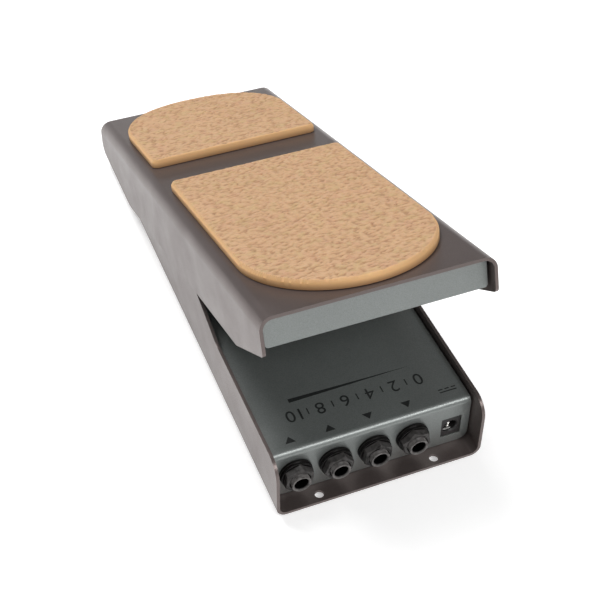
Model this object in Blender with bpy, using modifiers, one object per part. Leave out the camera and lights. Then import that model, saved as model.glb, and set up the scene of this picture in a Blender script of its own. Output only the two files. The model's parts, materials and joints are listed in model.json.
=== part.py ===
"""Treadle volume pedal, modelled as the pieces it is built from.

A folded sheet base holds a box of electronics with four jack sockets and a
power socket along its front.  A folded sheet treadle rocks on a shaft through
the raised middle of the base walls.  Two crepe rubber pads cover its top.

Units are metres and +Z is up.  The sockets face -Y, the heel is at +Y, and the
origin is at the middle of the pedal's outline, on the surface it stands on.
The pedal is modelled with its heel fully down, which tips the treadle's toe up.
"""
import math

import bmesh
import bpy
from mathutils import Matrix, Vector

# ---- driving sizes -------------------------------------------------------
OVERALL_LENGTH = 0.278      # base front edge to treadle rear face, heel down
PIVOT_Y = 0.140             # shaft axis behind the base front edge
PIVOT_Z = 0.045             # shaft axis above the underside of the base
GAP = 0.0003                # between pieces that touch or pass through each other

SHEET = 0.0015              # base and treadle sheet
BASE_WIDTH = 0.100
REAR_OVERHANG = 0.016       # treadle rear face behind the base
BASE_BEND = 0.005           # outside radius of the base folds
WALL_TOP = 0.033            # low part of the base walls
WALL_CORNER = 0.009         # rounded front top corner of each wall
FLANK_BEHIND = 0.0054       # where the walls stop rising, behind the shaft
FLANK_FILLET = 0.012
BRACKET_ABOVE = 0.010       # raised middle of the walls above the shaft
BRACKET_BEHIND = 0.020      # and behind it
WALL_FALL = 0.03354         # from the raised middle down to the rear flange
LIP_HOLE_INSET = 0.0217     # from the side of the base
LIP_HOLE_Y = 0.0040
LIP_HOLE_RADIUS = 0.0021

FOOT_RADIUS = 0.007
FOOT_HEIGHT = 0.0025
FOOT_INSET = 0.012          # from the sides of the base
FOOT_SETBACK = 0.018        # from its ends

BOX_SHEET = 0.0012
BOX_SIDE_GAP = 0.0007       # each side of the box, to the base walls
BOX_FRONT = 0.0097          # front panel behind the base front edge
BOX_TO_SHAFT = 0.026        # box rear to the shaft axis
BOX_BELOW_WALLS = 0.0042    # box top below the base walls
BOX_BEND = 0.003            # top to front panel
BOX_LOWER_BEND = 0.005      # sides to bottom flanges
BOX_SIDE_BEND = 0.0012
BOX_FLANGE = 0.0085
BOX_SCREW_INSET = 0.0093    # from the side of the box
BOX_SCREW_FRONT = 0.0283    # behind the front panel
BOX_SCREW_REAR = 0.014      # ahead of the box rear

SOCKET_MARGIN = 0.0008      # each side of the box, before five sockets share its width
JACK_AXIS_Z = 0.0155
JACK_BORE = 0.003175        # a quarter inch plug
JACK_BUSH_RADIUS = 0.0045
JACK_REACH = 0.0082         # bush in front of the panel
JACK_WASHER_SPACE = 0.0032  # between neighbouring washers
JACK_WASHER_THICKNESS = 0.0015
JACK_NUT_WALL = 0.0018      # bush to the flats of the nut
JACK_NUT_THICKNESS = 0.0042
JACK_NUT_FLANGE = 0.0011    # round foot of the nut
JACK_NUT_TURNS = (8, 20, 6, 48)  # degrees that each nut came to rest at
JACK_BODY_SPACE = 0.0034    # between neighbouring bodies
JACK_BODY_LENGTH = 0.0195
JACK_BODY_HEIGHT = 0.0132
JACK_BORE_DEPTH = 0.026

POWER_INSET = 0.0090        # power socket to the side of the box
POWER_AXIS_Z = 0.0128
POWER_BODY = Vector((0.0093, 0.0142, 0.0116))
POWER_RECESS = 0.0004       # socket face behind the front of the panel
POWER_BORE = 0.0030
POWER_BORE_DEPTH = 0.0095
POWER_PIN_RADIUS = 0.0010
POWER_PIN_LENGTH = 0.0075

BOARD_SIDE_GAP = 0.0038     # to the outside of the box
BOARD_THICKNESS = 0.0016
BOARD_FRONT = 0.0125
BOARD_REAR_GAP = 0.0055     # to the box rear
SENSOR = Vector((0.0042, 0.0016, 0.0040))

SHAFT_RADIUS = 0.0030
SHAFT_END_GAP = 0.0010      # shaft end to the treadle wall
RUNNING_CLEARANCE = 0.00015
BUSH_RADIUS = 0.0040
BUSH_FLANGE_RADIUS = 0.0060
BUSH_FLANGE = 0.0012
FRICTION_RADIUS = 0.0058
FRICTION_THICKNESS = 0.0010
COLLAR_RADIUS = 0.0060
COLLAR_WIDTH = 0.0070

TREADLE_SIDE_GAP = 0.0007   # treadle walls to the base walls
TOE_OVERHANG = 0.0012       # treadle length ahead of the shaft, past the base's
TOP_RISE = 0.0233           # treadle top face above the shaft
TREADLE_BEND = 0.006
REAR_BEND = 0.004
REAR_CORNER_BEND = 0.0025
WALL_DEPTH_TOE = 0.0171     # side wall depth at the toe
WALL_DEPTH_MIDDLE = 0.0304  # where the toe chamfer ends
WALL_DEPTH_HEEL = 0.0350    # where the heel cut starts
TOE_CHAMFER = 0.0395        # length of the toe chamfer
GROUND_GAP = 0.0055         # heel cut above the underside of the base, heel down

PAN_SHEET = 0.0012
PAN_SIDE_GAP = 0.0013       # to the inside of the treadle walls
PAN_SETBACK = 0.0045        # pan front behind the treadle front edge
PAN_LENGTH = 0.109
PAN_DEPTH = 0.0160          # pan underside below the treadle top face
PAN_BEND = 0.002
PAN_SIDE_BEND = 0.0015
PAN_FIXING_INSET = 0.0194   # from the side of the pan
PAN_FIXING_FRONT = 0.020    # behind the treadle front edge
PAN_FIXING_REAR = 0.100
STANDOFF_RADIUS = 0.0030
POST_RADIUS = 0.0040
BUMPER_RADIUS = 0.0045
BUMPER_HEIGHT = 0.0060
STOP_GAP = 0.0004           # left at a rubber stop at the end of the travel

HINGE_SHEET = 0.0020
HINGE_FRONT = 0.022         # bracket ahead of the shaft
HINGE_REAR = 0.011
HINGE_EAR_RADIUS = 0.009
HINGE_BEND = 0.003
HINGE_SCREW_INSET = 0.0222  # from the side of the treadle
HINGE_SCREW_FRONT = -0.016
HINGE_SCREW_REAR = 0.006
ARM_WIDTH = 0.012
ARM_THICKNESS = 0.0015
ARM_AHEAD = 0.0110          # arm front face ahead of the shaft
ARM_ABOVE_BASE = 0.008      # arm end above the underside of the base
MAGNET_RADIUS = 0.0040
MAGNET_THICKNESS = 0.0015

PAD_THICKNESS = 0.0045
PAD_INSET = 0.0074          # from the sides of the treadle
PAD_CORNER = 0.0035
TOE_PAD_NOSE = 0.0037       # nose tip behind the treadle front edge
TOE_PAD_BEHIND = 0.0123     # toe pad behind the shaft
PAD_SPACE = 0.0322          # between the pads
HEEL_PAD_ROUND = 0.0412     # length of its rounded end
HEEL_PAD_SHORT = 0.0048     # its rear end short of the pedal's length
HEEL_PAD_POWER = 2.25       # 2 is an ellipse, more is squarer

STRIP_WIDTH = 0.060
STRIP_WALL = 0.0018
STRIP_GRIP = 0.005          # strip legs below the top of the rear flange

M3_RADIUS = 0.0014
M3_HEAD_RADIUS = 0.0028
M3_HEAD_HEIGHT = 0.0015
M4_RADIUS = 0.0020
M4_HEAD_RADIUS = 0.0039
SCREW_TAIL = 0.0020         # thread beyond the piece it holds

# ---- roundness of the solids ----------------------------------------------
FINE = 32
ROUND = 24
SMALL = 16
BEND_STEPS = 5

# ---- sizes that follow ------------------------------------------------------
BASE_LENGTH = OVERALL_LENGTH - REAR_OVERHANG
BASE_INNER = BASE_WIDTH / 2 - SHEET
BRACKET_TOP = PIVOT_Z + BRACKET_ABOVE
BRACKET_REAR = PIVOT_Y + BRACKET_BEHIND
TILT = math.atan2(WALL_FALL, BASE_LENGTH - BRACKET_REAR)  # treadle angle, heel fully down
FLANK_START = PIVOT_Y + FLANK_BEHIND - (BRACKET_TOP - WALL_TOP) / math.tan(TILT)
LIP_HOLE_X = BASE_WIDTH / 2 - LIP_HOLE_INSET
FOOT_X = BASE_WIDTH / 2 - FOOT_INSET
TREADLE_WIDTH = BASE_WIDTH + 2 * (TREADLE_SIDE_GAP + SHEET)
TREADLE_INNER = TREADLE_WIDTH / 2 - SHEET
TOE_REACH = PIVOT_Y + TOE_OVERHANG
HINGE_SCREW_X = TREADLE_WIDTH / 2 - HINGE_SCREW_INSET
ARM_BELOW = PIVOT_Z - ARM_ABOVE_BASE
PAD_HALF_WIDTH = TREADLE_WIDTH / 2 - PAD_INSET
TOE_PAD_REAR = TOE_REACH + TOE_PAD_BEHIND
HEEL_PAD_FRONT = TOE_PAD_REAR + PAD_SPACE
HEEL_PAD_REAR = OVERALL_LENGTH - HEEL_PAD_SHORT
HEEL_PAD_SHOULDER = HEEL_PAD_REAR - HEEL_PAD_ROUND
FRONT_EDGE = Vector((0.0, -OVERALL_LENGTH / 2, FOOT_HEIGHT))
BOX_HALF_WIDTH = BASE_INNER - BOX_SIDE_GAP
BOX_REAR = PIVOT_Y - BOX_TO_SHAFT
BOX_TOP = WALL_TOP - BOX_BELOW_WALLS
BOX_SCREW_X = BOX_HALF_WIDTH - BOX_SCREW_INSET
BOX_SCREW_YS = {"front": BOX_FRONT + BOX_SCREW_FRONT, "rear": BOX_REAR - BOX_SCREW_REAR}
BOARD_WIDTH = 2 * (BOX_HALF_WIDTH - BOARD_SIDE_GAP)
BOARD_REAR = BOX_REAR - BOARD_REAR_GAP
BOX_BOTTOM = SHEET + GAP
PLATE_UNDER = TOP_RISE - SHEET
PAN_BOTTOM = TOP_RISE - PAN_DEPTH
PAN_HALF_WIDTH = TREADLE_INNER - PAN_SIDE_GAP
PAN_FIXING_X = PAN_HALF_WIDTH - PAN_FIXING_INSET
INTO_BEND = PAN_HALF_WIDTH - (TREADLE_WIDTH / 2 - TREADLE_BEND)
PAN_TOP = TOP_RISE - TREADLE_BEND + math.sqrt((TREADLE_BEND - SHEET - GAP) ** 2 - INTO_BEND ** 2)
BEHIND_PANEL = BOX_FRONT + BOX_SHEET + GAP
BOARD_TOP = min(JACK_AXIS_Z - JACK_BODY_HEIGHT / 2, POWER_AXIS_Z - POWER_BODY.z / 2) - GAP
BOARD_UNDER = BOARD_TOP - BOARD_THICKNESS
SOCKET_PITCH = 2 * (BOX_HALF_WIDTH - SOCKET_MARGIN) / 5
JACK_XS = [SOCKET_PITCH * step for step in (-2, -1, 0, 1)]
POWER_X = BOX_HALF_WIDTH - POWER_INSET
JACK_WASHER_RADIUS = (SOCKET_PITCH - JACK_WASHER_SPACE) / 2
JACK_NUT_FLATS = 2 * (JACK_BUSH_RADIUS + JACK_NUT_WALL)
JACK_BODY = Vector((SOCKET_PITCH - JACK_BODY_SPACE, JACK_BODY_LENGTH, JACK_BODY_HEIGHT))

COLOURS = {
    "bronze_coat": ((0.150, 0.128, 0.122), 0.42, 0.25),
    "grey_green_coat": ((0.150, 0.172, 0.162), 0.55, 0.10),
    "crepe_rubber": ((0.700, 0.440, 0.235), 0.85, 0.0),
    "black_plastic": ((0.020, 0.019, 0.020), 0.38, 0.0),
    "black_rubber": ((0.025, 0.025, 0.026), 0.80, 0.0),
    "plated_steel": ((0.560, 0.560, 0.570), 0.30, 1.0),
    "aluminium": ((0.620, 0.630, 0.640), 0.35, 1.0),
    "acetal": ((0.800, 0.790, 0.750), 0.45, 0.0),
    "bronze_disc": ((0.520, 0.330, 0.150), 0.40, 1.0),
    "circuit_board": ((0.020, 0.130, 0.060), 0.50, 0.0),
    "magnet_nickel": ((0.660, 0.640, 0.600), 0.22, 1.0),
}

PLANES = {
    "XY": Matrix.Identity(3),
    "YZ": Matrix(((0, 0, 1), (1, 0, 0), (0, 1, 0))),
    "XZ": Matrix(((1, 0, 0), (0, 0, -1), (0, 1, 0))),
}
AXES = {
    "X": Matrix.Rotation(math.pi / 2, 3, "Y"),
    "-X": Matrix.Rotation(-math.pi / 2, 3, "Y"),
    "-Y": Matrix.Rotation(math.pi / 2, 3, "X"),
    "Z": Matrix.Identity(3),
}


# ---- scene, materials and frames --------------------------------------------
def clear_scene():
    """Remove every object that the new file came with."""
    for item in list(bpy.data.objects):
        bpy.data.objects.remove(item, do_unlink=True)


def make_collection(name):
    """Make a collection and link it to the scene."""
    collection = bpy.data.collections.new(name)
    bpy.context.scene.collection.children.link(collection)
    return collection


def make_material(name, colour, roughness, metallic):
    """Make a plain Principled material."""
    material = bpy.data.materials.new(name)
    material.use_nodes = True
    shader = material.node_tree.nodes["Principled BSDF"]
    shader.inputs["Base Color"].default_value = (*colour, 1.0)
    shader.inputs["Roughness"].default_value = roughness
    shader.inputs["Metallic"].default_value = metallic
    return material


def make_frame(name, location, tilt, collection):
    """Make an empty that a group of pieces is parented to."""
    frame = bpy.data.objects.new(name, None)
    frame.location = location
    frame.rotation_euler = (tilt, 0.0, 0.0)
    collection.objects.link(frame)
    return frame


class Workshop:
    """Holds the collections, materials and frames that every piece uses."""

    def __init__(self):
        self.parts = make_collection("volume_pedal")
        self.cutters = make_collection("cutters")
        self.coats = {name: make_material(name, *look) for name, look in COLOURS.items()}
        self.base = make_frame("base_frame", FRONT_EDGE, 0.0, self.parts)
        pivot = FRONT_EDGE + Vector((0.0, PIVOT_Y, PIVOT_Z))
        self.treadle = make_frame("treadle_axis", pivot, -TILT, self.parts)

    def place(self, name, mesh, frame, coat, location=(0, 0, 0), turn=None):
        """Add a mesh as a piece, or as a cutter when it has no coat."""
        item = bpy.data.objects.new(name, mesh)
        item.parent = frame
        item.location = location
        if turn is not None:
            item.rotation_euler = turn.to_euler()
        if coat is None:
            item.hide_render = True
            item.display_type = "WIRE"
            self.cutters.objects.link(item)
            return item
        mesh.materials.clear()
        mesh.materials.append(self.coats[coat])
        self.parts.objects.link(item)
        return item


# ---- mesh tools ---------------------------------------------------------------
def finish_mesh(bm, name):
    """Turn a bmesh into a mesh that is smooth except at sharp folds."""
    mesh = bpy.data.meshes.new(name)
    bm.to_mesh(mesh)
    bm.free()
    mesh.shade_smooth()
    mesh.set_sharp_from_angle(angle=math.radians(35))
    return mesh


def block_mesh(name, size, bevel=0.0):
    """Make a box centred on its origin, with its edges bevelled."""
    bm = bmesh.new()
    bmesh.ops.create_cube(bm, size=1.0)
    bmesh.ops.scale(bm, vec=size, verts=bm.verts)
    if bevel > 0:
        bmesh.ops.bevel(bm, geom=bm.edges[:], offset=bevel, segments=1, profile=0.5,
                        affect="EDGES", material=-1)
    return finish_mesh(bm, name)


def rod_mesh(name, radius, length, segments=ROUND):
    """Make a closed cylinder along Z, centred on its origin."""
    bm = bmesh.new()
    bmesh.ops.create_cone(bm, cap_ends=True, segments=segments, radius1=radius, radius2=radius,
                          depth=length)
    return finish_mesh(bm, name)


def rounded_outline(corners, steps=6):
    """Replace each corner (a, b, radius) of a closed outline with an arc."""
    points = []
    count = len(corners)
    for index, (a, b, radius) in enumerate(corners):
        here = Vector((a, b))
        before = Vector(corners[index - 1][:2]) - here
        after = Vector(corners[(index + 1) % count][:2]) - here
        if radius <= 0:
            points.append(here)
            continue
        half = before.angle(after) / 2
        reach = radius / math.tan(half)
        start = here + before.normalized() * reach
        middle = here + (before.normalized() + after.normalized()).normalized() * radius / math.sin(half)
        sweep = (math.pi - 2 * half) * (1 if before.cross(after) < 0 else -1)
        arm = start - middle
        for step in range(steps + 1):
            turn = Matrix.Rotation(sweep * step / steps, 2)
            points.append(middle + turn @ arm)
    return points


def circle_outline(radius, segments, centre=(0.0, 0.0)):
    """List points round a circle."""
    angles = [2 * math.pi * step / segments for step in range(segments)]
    return [Vector((centre[0] + radius * math.cos(a), centre[1] + radius * math.sin(a)))
            for a in angles]


def plate_mesh(name, outlines, thickness):
    """Extrude flat outlines, the later ones being holes, centred on local Z."""
    curve = bpy.data.curves.new(name, "CURVE")
    curve.dimensions = "2D"
    curve.fill_mode = "BOTH"
    curve.extrude = thickness / 2
    for outline in outlines:
        spline = curve.splines.new("POLY")
        spline.points.add(len(outline) - 1)
        spline.use_cyclic_u = True
        for point, spot in zip(spline.points, outline):
            point.co = (spot[0], spot[1], 0.0, 1.0)
    holder = bpy.data.objects.new(name, curve)
    bpy.context.scene.collection.objects.link(holder)
    evaluated = holder.evaluated_get(bpy.context.evaluated_depsgraph_get())
    mesh = bpy.data.meshes.new_from_object(evaluated)
    bpy.data.objects.remove(holder, do_unlink=True)
    bpy.data.curves.remove(curve)
    bm = bmesh.new()
    bm.from_mesh(mesh)
    bpy.data.meshes.remove(mesh)
    bmesh.ops.remove_doubles(bm, verts=bm.verts, dist=1e-6)
    bmesh.ops.recalc_face_normals(bm, faces=bm.faces)
    return finish_mesh(bm, name)


def turned_mesh(name, profile, closed):
    """Make the edge loop (radius, height) that a Screw modifier turns."""
    bm = bmesh.new()
    spots = [bm.verts.new((radius, 0.0, height)) for radius, height in profile]
    for first, second in zip(spots, spots[1:]):
        bm.edges.new((first, second))
    if closed:
        bm.edges.new((spots[-1], spots[0]))
    mesh = bpy.data.meshes.new(name)
    bm.to_mesh(mesh)
    bm.free()
    return mesh


def turn_profile(item, segments):
    """Spin an object's profile round its own Z axis."""
    screw = item.modifiers.new("turn", "SCREW")
    screw.axis = "Z"
    screw.angle = 2 * math.pi
    screw.steps = segments
    screw.render_steps = segments
    screw.use_merge_vertices = True
    screw.merge_threshold = 0.00001
    screw.use_smooth_shade = True
    return item


def folded_mesh(name, corner, open_sides, bends):
    """Fold a thin open box.

    corner maps the signs (x, y, z) of a box corner to its place.  open_sides
    lists the (axis, sign) pairs of the sides left out.  bends lists
    (signs, radius), where signs has a None along the fold.
    """
    bm = bmesh.new()
    bmesh.ops.create_cube(bm, size=2.0)
    signs = {vert: tuple(1 if value > 0 else -1 for value in vert.co) for vert in bm.verts}
    gone = [face for face in bm.faces
            if any(all(signs[vert][axis] == sign for vert in face.verts)
                   for axis, sign in open_sides)]
    folds = []
    for wanted, radius in bends:
        found = [edge for edge in bm.edges
                 if all(want is None or all(signs[vert][axis] == want for vert in edge.verts)
                        for axis, want in enumerate(wanted))]
        folds.append((found, radius))
    for vert, key in signs.items():
        vert.co = corner(*key)
    bmesh.ops.delete(bm, geom=gone, context="FACES_ONLY")
    for found, radius in folds:
        edges = [edge for edge in found if edge.is_valid and len(edge.link_faces) == 2]
        bmesh.ops.bevel(bm, geom=edges, offset=radius, segments=BEND_STEPS, profile=0.5,
                        affect="EDGES", material=-1)
    bmesh.ops.remove_doubles(bm, verts=bm.verts, dist=1e-7)
    return finish_mesh(bm, name)


def thicken(item, thickness):
    """Give a folded sheet its thickness, inwards."""
    solid = item.modifiers.new("sheet", "SOLIDIFY")
    solid.thickness = thickness
    solid.offset = -1.0
    solid.use_even_offset = True
    solid.use_quality_normals = True
    return item


def combine(item, other, operation="DIFFERENCE"):
    """Cut an object with another one, or join the other one to it."""
    boolean = item.modifiers.new(other.name, "BOOLEAN")
    boolean.operation = operation
    boolean.solver = "EXACT"
    boolean.object = other
    return item


def ring_profile(outer, inner, low, high):
    """Profile of a ring, down its outer side and up its bore."""
    return [(outer, high), (outer, low), (inner, low), (inner, high)]


def drill(shop, item, name, frame, spot, radius, depth, axis="Z", segments=ROUND):
    """Cut a round hole right through a sheet at a point on it."""
    mesh = rod_mesh(name, radius, depth, segments)
    return combine(item, shop.place(name, mesh, frame, None, spot, AXES[axis]))


def turned(shop, name, profile, frame, coat, spot, axis="Z", segments=ROUND, closed=False):
    """Make a turned piece with its local Z along an axis."""
    mesh = turned_mesh(name, profile, closed)
    return turn_profile(shop.place(name, mesh, frame, coat, spot, AXES[axis]), segments)


def rectangle(low_a, high_a, low_b, high_b, radius=0.0):
    """Rounded rectangle outline."""
    corners = [(low_a, low_b, radius), (high_a, low_b, radius),
               (high_a, high_b, radius), (low_a, high_b, radius)]
    return rounded_outline(corners, steps=4)


def to_treadle(y, z):
    """Turn a point behind and above the shaft, heel down, into the treadle's frame."""
    return (y * math.cos(TILT) - z * math.sin(TILT), y * math.sin(TILT) + z * math.cos(TILT))


# ---- base -----------------------------------------------------------------------
def wall_outline():
    """Outline above the base walls, which the sheet is trimmed to."""
    slope = math.tan(TILT)
    rise_end = FLANK_START + (BRACKET_TOP - WALL_TOP) / slope
    rear_height = BRACKET_TOP - (BASE_LENGTH - BRACKET_REAR) * slope
    beyond = 0.02
    high = BRACKET_TOP + beyond
    return rounded_outline([
        (-beyond, high, 0),
        (-beyond, -beyond, 0),
        (0.0, -beyond, 0),
        (0.0, WALL_TOP, WALL_CORNER),
        (FLANK_START, WALL_TOP, FLANK_FILLET),
        (rise_end, BRACKET_TOP, FLANK_FILLET),
        (BRACKET_REAR, BRACKET_TOP, FLANK_FILLET),
        (BASE_LENGTH + beyond, rear_height - beyond * slope, 0),
        (BASE_LENGTH + beyond, high, 0),
    ])


def build_base(shop):
    """Folded base channel with its shaft holes, screw holes and lip holes."""
    def corner(x, y, z):
        return Vector((x * BASE_WIDTH / 2,
                       BASE_LENGTH if y > 0 else 0.0,
                       BRACKET_TOP + SHEET if z > 0 else 0.0))

    mesh = folded_mesh("base_channel", corner, [(2, 1), (1, -1)],
                       [((-1, None, -1), BASE_BEND), ((1, None, -1), BASE_BEND),
                        ((None, 1, -1), BASE_BEND / 2)])
    base = thicken(shop.place("base_channel", mesh, shop.base, "bronze_coat"), SHEET)
    trim = plate_mesh("cut_base_walls", [wall_outline()], BASE_WIDTH * 1.5)
    combine(base, shop.place("cut_base_walls", trim, shop.base, None, turn=PLANES["YZ"]))
    through = SHEET * 4
    for side, sign in (("left", -1), ("right", 1)):
        drill(shop, base, f"cut_lip_hole_{side}", shop.base,
              (sign * LIP_HOLE_X, LIP_HOLE_Y, SHEET / 2), LIP_HOLE_RADIUS, through, segments=ROUND)
        drill(shop, base, f"cut_shaft_hole_{side}", shop.base,
              (sign * (BASE_INNER + SHEET / 2), PIVOT_Y, PIVOT_Z), BUSH_RADIUS + GAP, through, "X")
        for end, y in BOX_SCREW_YS.items():
            drill(shop, base, f"cut_base_screw_{side}_{end}", shop.base,
                  (sign * BOX_SCREW_X, y, SHEET / 2), M3_RADIUS + GAP, through, segments=SMALL)
    return base


def build_feet(shop):
    """Four rubber feet stuck under the base."""
    height = FOOT_HEIGHT - GAP
    edge = height / 4
    for end, y in (("front", FOOT_SETBACK), ("rear", BASE_LENGTH - FOOT_SETBACK)):
        for side, sign in (("left", -1), ("right", 1)):
            profile = [(0, -GAP), (FOOT_RADIUS, -GAP), (FOOT_RADIUS, edge - FOOT_HEIGHT),
                       (FOOT_RADIUS - edge, -FOOT_HEIGHT), (0, -FOOT_HEIGHT)]
            turned(shop, f"foot_{side}_{end}", profile, shop.base, "black_rubber",
                   (sign * FOOT_X, y, 0))


def build_heel_stop(shop):
    """Rubber strip clipped over the rear flange, which the treadle comes down on."""
    outer = BASE_LENGTH + GAP
    inner = BASE_LENGTH - SHEET - GAP
    flange_top = BRACKET_TOP - (BASE_LENGTH - BRACKET_REAR) * math.tan(TILT)
    rest_y = outer + STRIP_WALL - PIVOT_Y

    def rest_height(y):
        return PIVOT_Z + (PLATE_UNDER - y * math.sin(TILT)) / math.cos(TILT) - STOP_GAP

    low = flange_top - STRIP_GRIP
    slot = flange_top + SHEET * math.tan(TILT) + GAP
    front_y = inner - STRIP_WALL
    outline = rounded_outline([
        (front_y, low, 0), (inner, low, 0), (inner, slot, 0), (outer, slot, 0),
        (outer, low, 0), (outer + STRIP_WALL, low, 0),
        (outer + STRIP_WALL, rest_height(rest_y), 0.001),
        (front_y, rest_height(front_y - PIVOT_Y), 0.001)], steps=3)
    mesh = plate_mesh("heel_stop_strip", [outline], STRIP_WIDTH)
    shop.place("heel_stop_strip", mesh, shop.base, "black_rubber", turn=PLANES["YZ"])


# ---- electronics ------------------------------------------------------------------
def build_box(shop):
    """Folded box with four jack holes and a power window in its front panel."""
    def corner(x, y, z):
        return Vector((x * BOX_HALF_WIDTH,
                       BOX_REAR if y > 0 else BOX_FRONT,
                       BOX_TOP if z > 0 else BOX_BOTTOM))

    mesh = folded_mesh("electronics_box", corner, [],
                       [((-1, None, -1), BOX_LOWER_BEND), ((1, None, -1), BOX_LOWER_BEND),
                        ((None, -1, 1), BOX_BEND), ((-1, None, 1), BOX_SIDE_BEND),
                        ((1, None, 1), BOX_SIDE_BEND)])
    open_underside(mesh, BOX_FLANGE, -1)
    box = thicken(shop.place("electronics_box", mesh, shop.base, "grey_green_coat"), BOX_SHEET)
    panel_y = BOX_FRONT + BOX_SHEET / 2
    through = BOX_SHEET * 4
    for number, x in enumerate(JACK_XS, start=1):
        drill(shop, box, f"cut_jack_hole_{number}", shop.base, (x, panel_y, JACK_AXIS_Z),
              JACK_BUSH_RADIUS + GAP, through, "-Y")
    window = block_mesh("cut_power_window",
                        (POWER_BODY.x + 2 * GAP, through, POWER_BODY.z + 2 * GAP))
    combine(box, shop.place("cut_power_window", window, shop.base, None,
                            (POWER_X, panel_y, POWER_AXIS_Z)))
    floor_z = BOX_BOTTOM + BOX_SHEET / 2
    for side, sign in (("left", -1), ("right", 1)):
        for end, y in BOX_SCREW_YS.items():
            spot = (sign * BOX_SCREW_X, y, floor_z)
            drill(shop, box, f"cut_box_screw_{side}_{end}", shop.base, spot,
                  M3_RADIUS + GAP, through, segments=SMALL)
            box_screw(shop, f"box_screw_{side}_{end}", sign * BOX_SCREW_X, y)


def open_underside(mesh, flange, side):
    """Cut the middle out of a box's flat bottom (side -1) or top (side 1), leaving flanges."""
    bm = bmesh.new()
    bm.from_mesh(mesh)
    flat = max((face for face in bm.faces if face.normal.z * side > 0.99),
               key=lambda face: face.calc_area())
    bmesh.ops.inset_region(bm, faces=[flat], thickness=flange, use_even_offset=True)
    bmesh.ops.delete(bm, geom=[flat], context="FACES")
    bm.to_mesh(mesh)
    bm.free()


def box_screw(shop, name, x, y):
    """Pan head screw from under the base into a flange of the box."""
    tail = BOARD_UNDER - GAP
    head = -GAP - M3_HEAD_HEIGHT
    profile = [(0, tail), (M3_RADIUS, tail), (M3_RADIUS, -GAP), (M3_HEAD_RADIUS, -GAP),
               (M3_HEAD_RADIUS, head + M3_HEAD_HEIGHT / 2), (M3_HEAD_RADIUS * 0.7, head), (0, head)]
    turned(shop, name, profile, shop.base, "plated_steel", (x, y, 0), segments=SMALL)


def build_jacks(shop):
    """Four jack sockets, each with its washer and nut on the front panel."""
    for number, x in enumerate(JACK_XS, start=1):
        build_jack(shop, number, x)


def build_jack(shop, number, x):
    """One jack: body with threaded bush and bore, flat washer, hexagon nut."""
    body_mesh = block_mesh(f"jack_body_{number}", JACK_BODY, 0.0006)
    middle = Vector((x, BEHIND_PANEL + JACK_BODY.y / 2, JACK_AXIS_Z))
    body = shop.place(f"jack_body_{number}", body_mesh, shop.base, "black_plastic", middle)
    tip = BOX_FRONT - JACK_REACH
    bush_length = BEHIND_PANEL + SHEET - tip
    bush = rod_mesh(f"join_jack_bush_{number}", JACK_BUSH_RADIUS, bush_length)
    combine(body, shop.place(f"join_jack_bush_{number}", bush, shop.base, None,
                             (x, tip + bush_length / 2, JACK_AXIS_Z), AXES["-Y"]), "UNION")
    bore = rod_mesh(f"cut_jack_bore_{number}", JACK_BORE, JACK_BORE_DEPTH * 2)
    combine(body, shop.place(f"cut_jack_bore_{number}", bore, shop.base, None,
                             (x, tip, JACK_AXIS_Z), AXES["-Y"]))
    back = GAP
    front = back + JACK_WASHER_THICKNESS
    spot = (x, BOX_FRONT, JACK_AXIS_Z)
    turned(shop, f"jack_washer_{number}",
           ring_profile(JACK_WASHER_RADIUS, JACK_BUSH_RADIUS + GAP, back, front),
           shop.base, "black_plastic", spot, "-Y", FINE, closed=True)
    corner_radius = JACK_NUT_FLATS / 2 / math.cos(math.pi / 6)
    back = front + GAP
    turn = Matrix.Rotation(math.radians(JACK_NUT_TURNS[number - 1]), 2)
    nut_mesh = plate_mesh(f"jack_nut_{number}",
                          [[turn @ point for point in circle_outline(corner_radius, 6)]],
                          JACK_NUT_THICKNESS)
    nut = shop.place(f"jack_nut_{number}", nut_mesh, shop.base, "black_plastic",
                     (x, BOX_FRONT - back - JACK_NUT_THICKNESS / 2, JACK_AXIS_Z), PLANES["XZ"])
    flange = rod_mesh(f"join_nut_flange_{number}", corner_radius + GAP, JACK_NUT_FLANGE)
    combine(nut, shop.place(f"join_nut_flange_{number}", flange, shop.base, None,
                            (x, BOX_FRONT - back - JACK_NUT_FLANGE / 2, JACK_AXIS_Z), AXES["-Y"]),
            "UNION")
    drill(shop, nut, f"cut_nut_bore_{number}", shop.base,
          (x, BOX_FRONT - back - JACK_NUT_THICKNESS / 2, JACK_AXIS_Z),
          JACK_BUSH_RADIUS + GAP, JACK_NUT_THICKNESS * 3, "-Y")


def build_power_socket(shop):
    """Rectangular power socket with a round well and a centre pin."""
    face = BOX_FRONT + POWER_RECESS
    mesh = block_mesh("dc_socket", POWER_BODY, 0.0004)
    body = shop.place("dc_socket", mesh, shop.base, "black_plastic",
                      (POWER_X, face + POWER_BODY.y / 2, POWER_AXIS_Z))
    well = rod_mesh("cut_power_well", POWER_BORE, POWER_BORE_DEPTH * 2)
    combine(body, shop.place("cut_power_well", well, shop.base, None,
                             (POWER_X, face, POWER_AXIS_Z), AXES["-Y"]))
    root = face + POWER_BORE_DEPTH - GAP
    tip = POWER_PIN_LENGTH
    profile = [(0, tip), (POWER_PIN_RADIUS * 0.6, tip), (POWER_PIN_RADIUS, tip - 0.0005),
               (POWER_PIN_RADIUS, 0), (0, 0)]
    turned(shop, "dc_pin", profile, shop.base, "plated_steel",
           (POWER_X, root, POWER_AXIS_Z), "-Y", SMALL)


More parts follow.
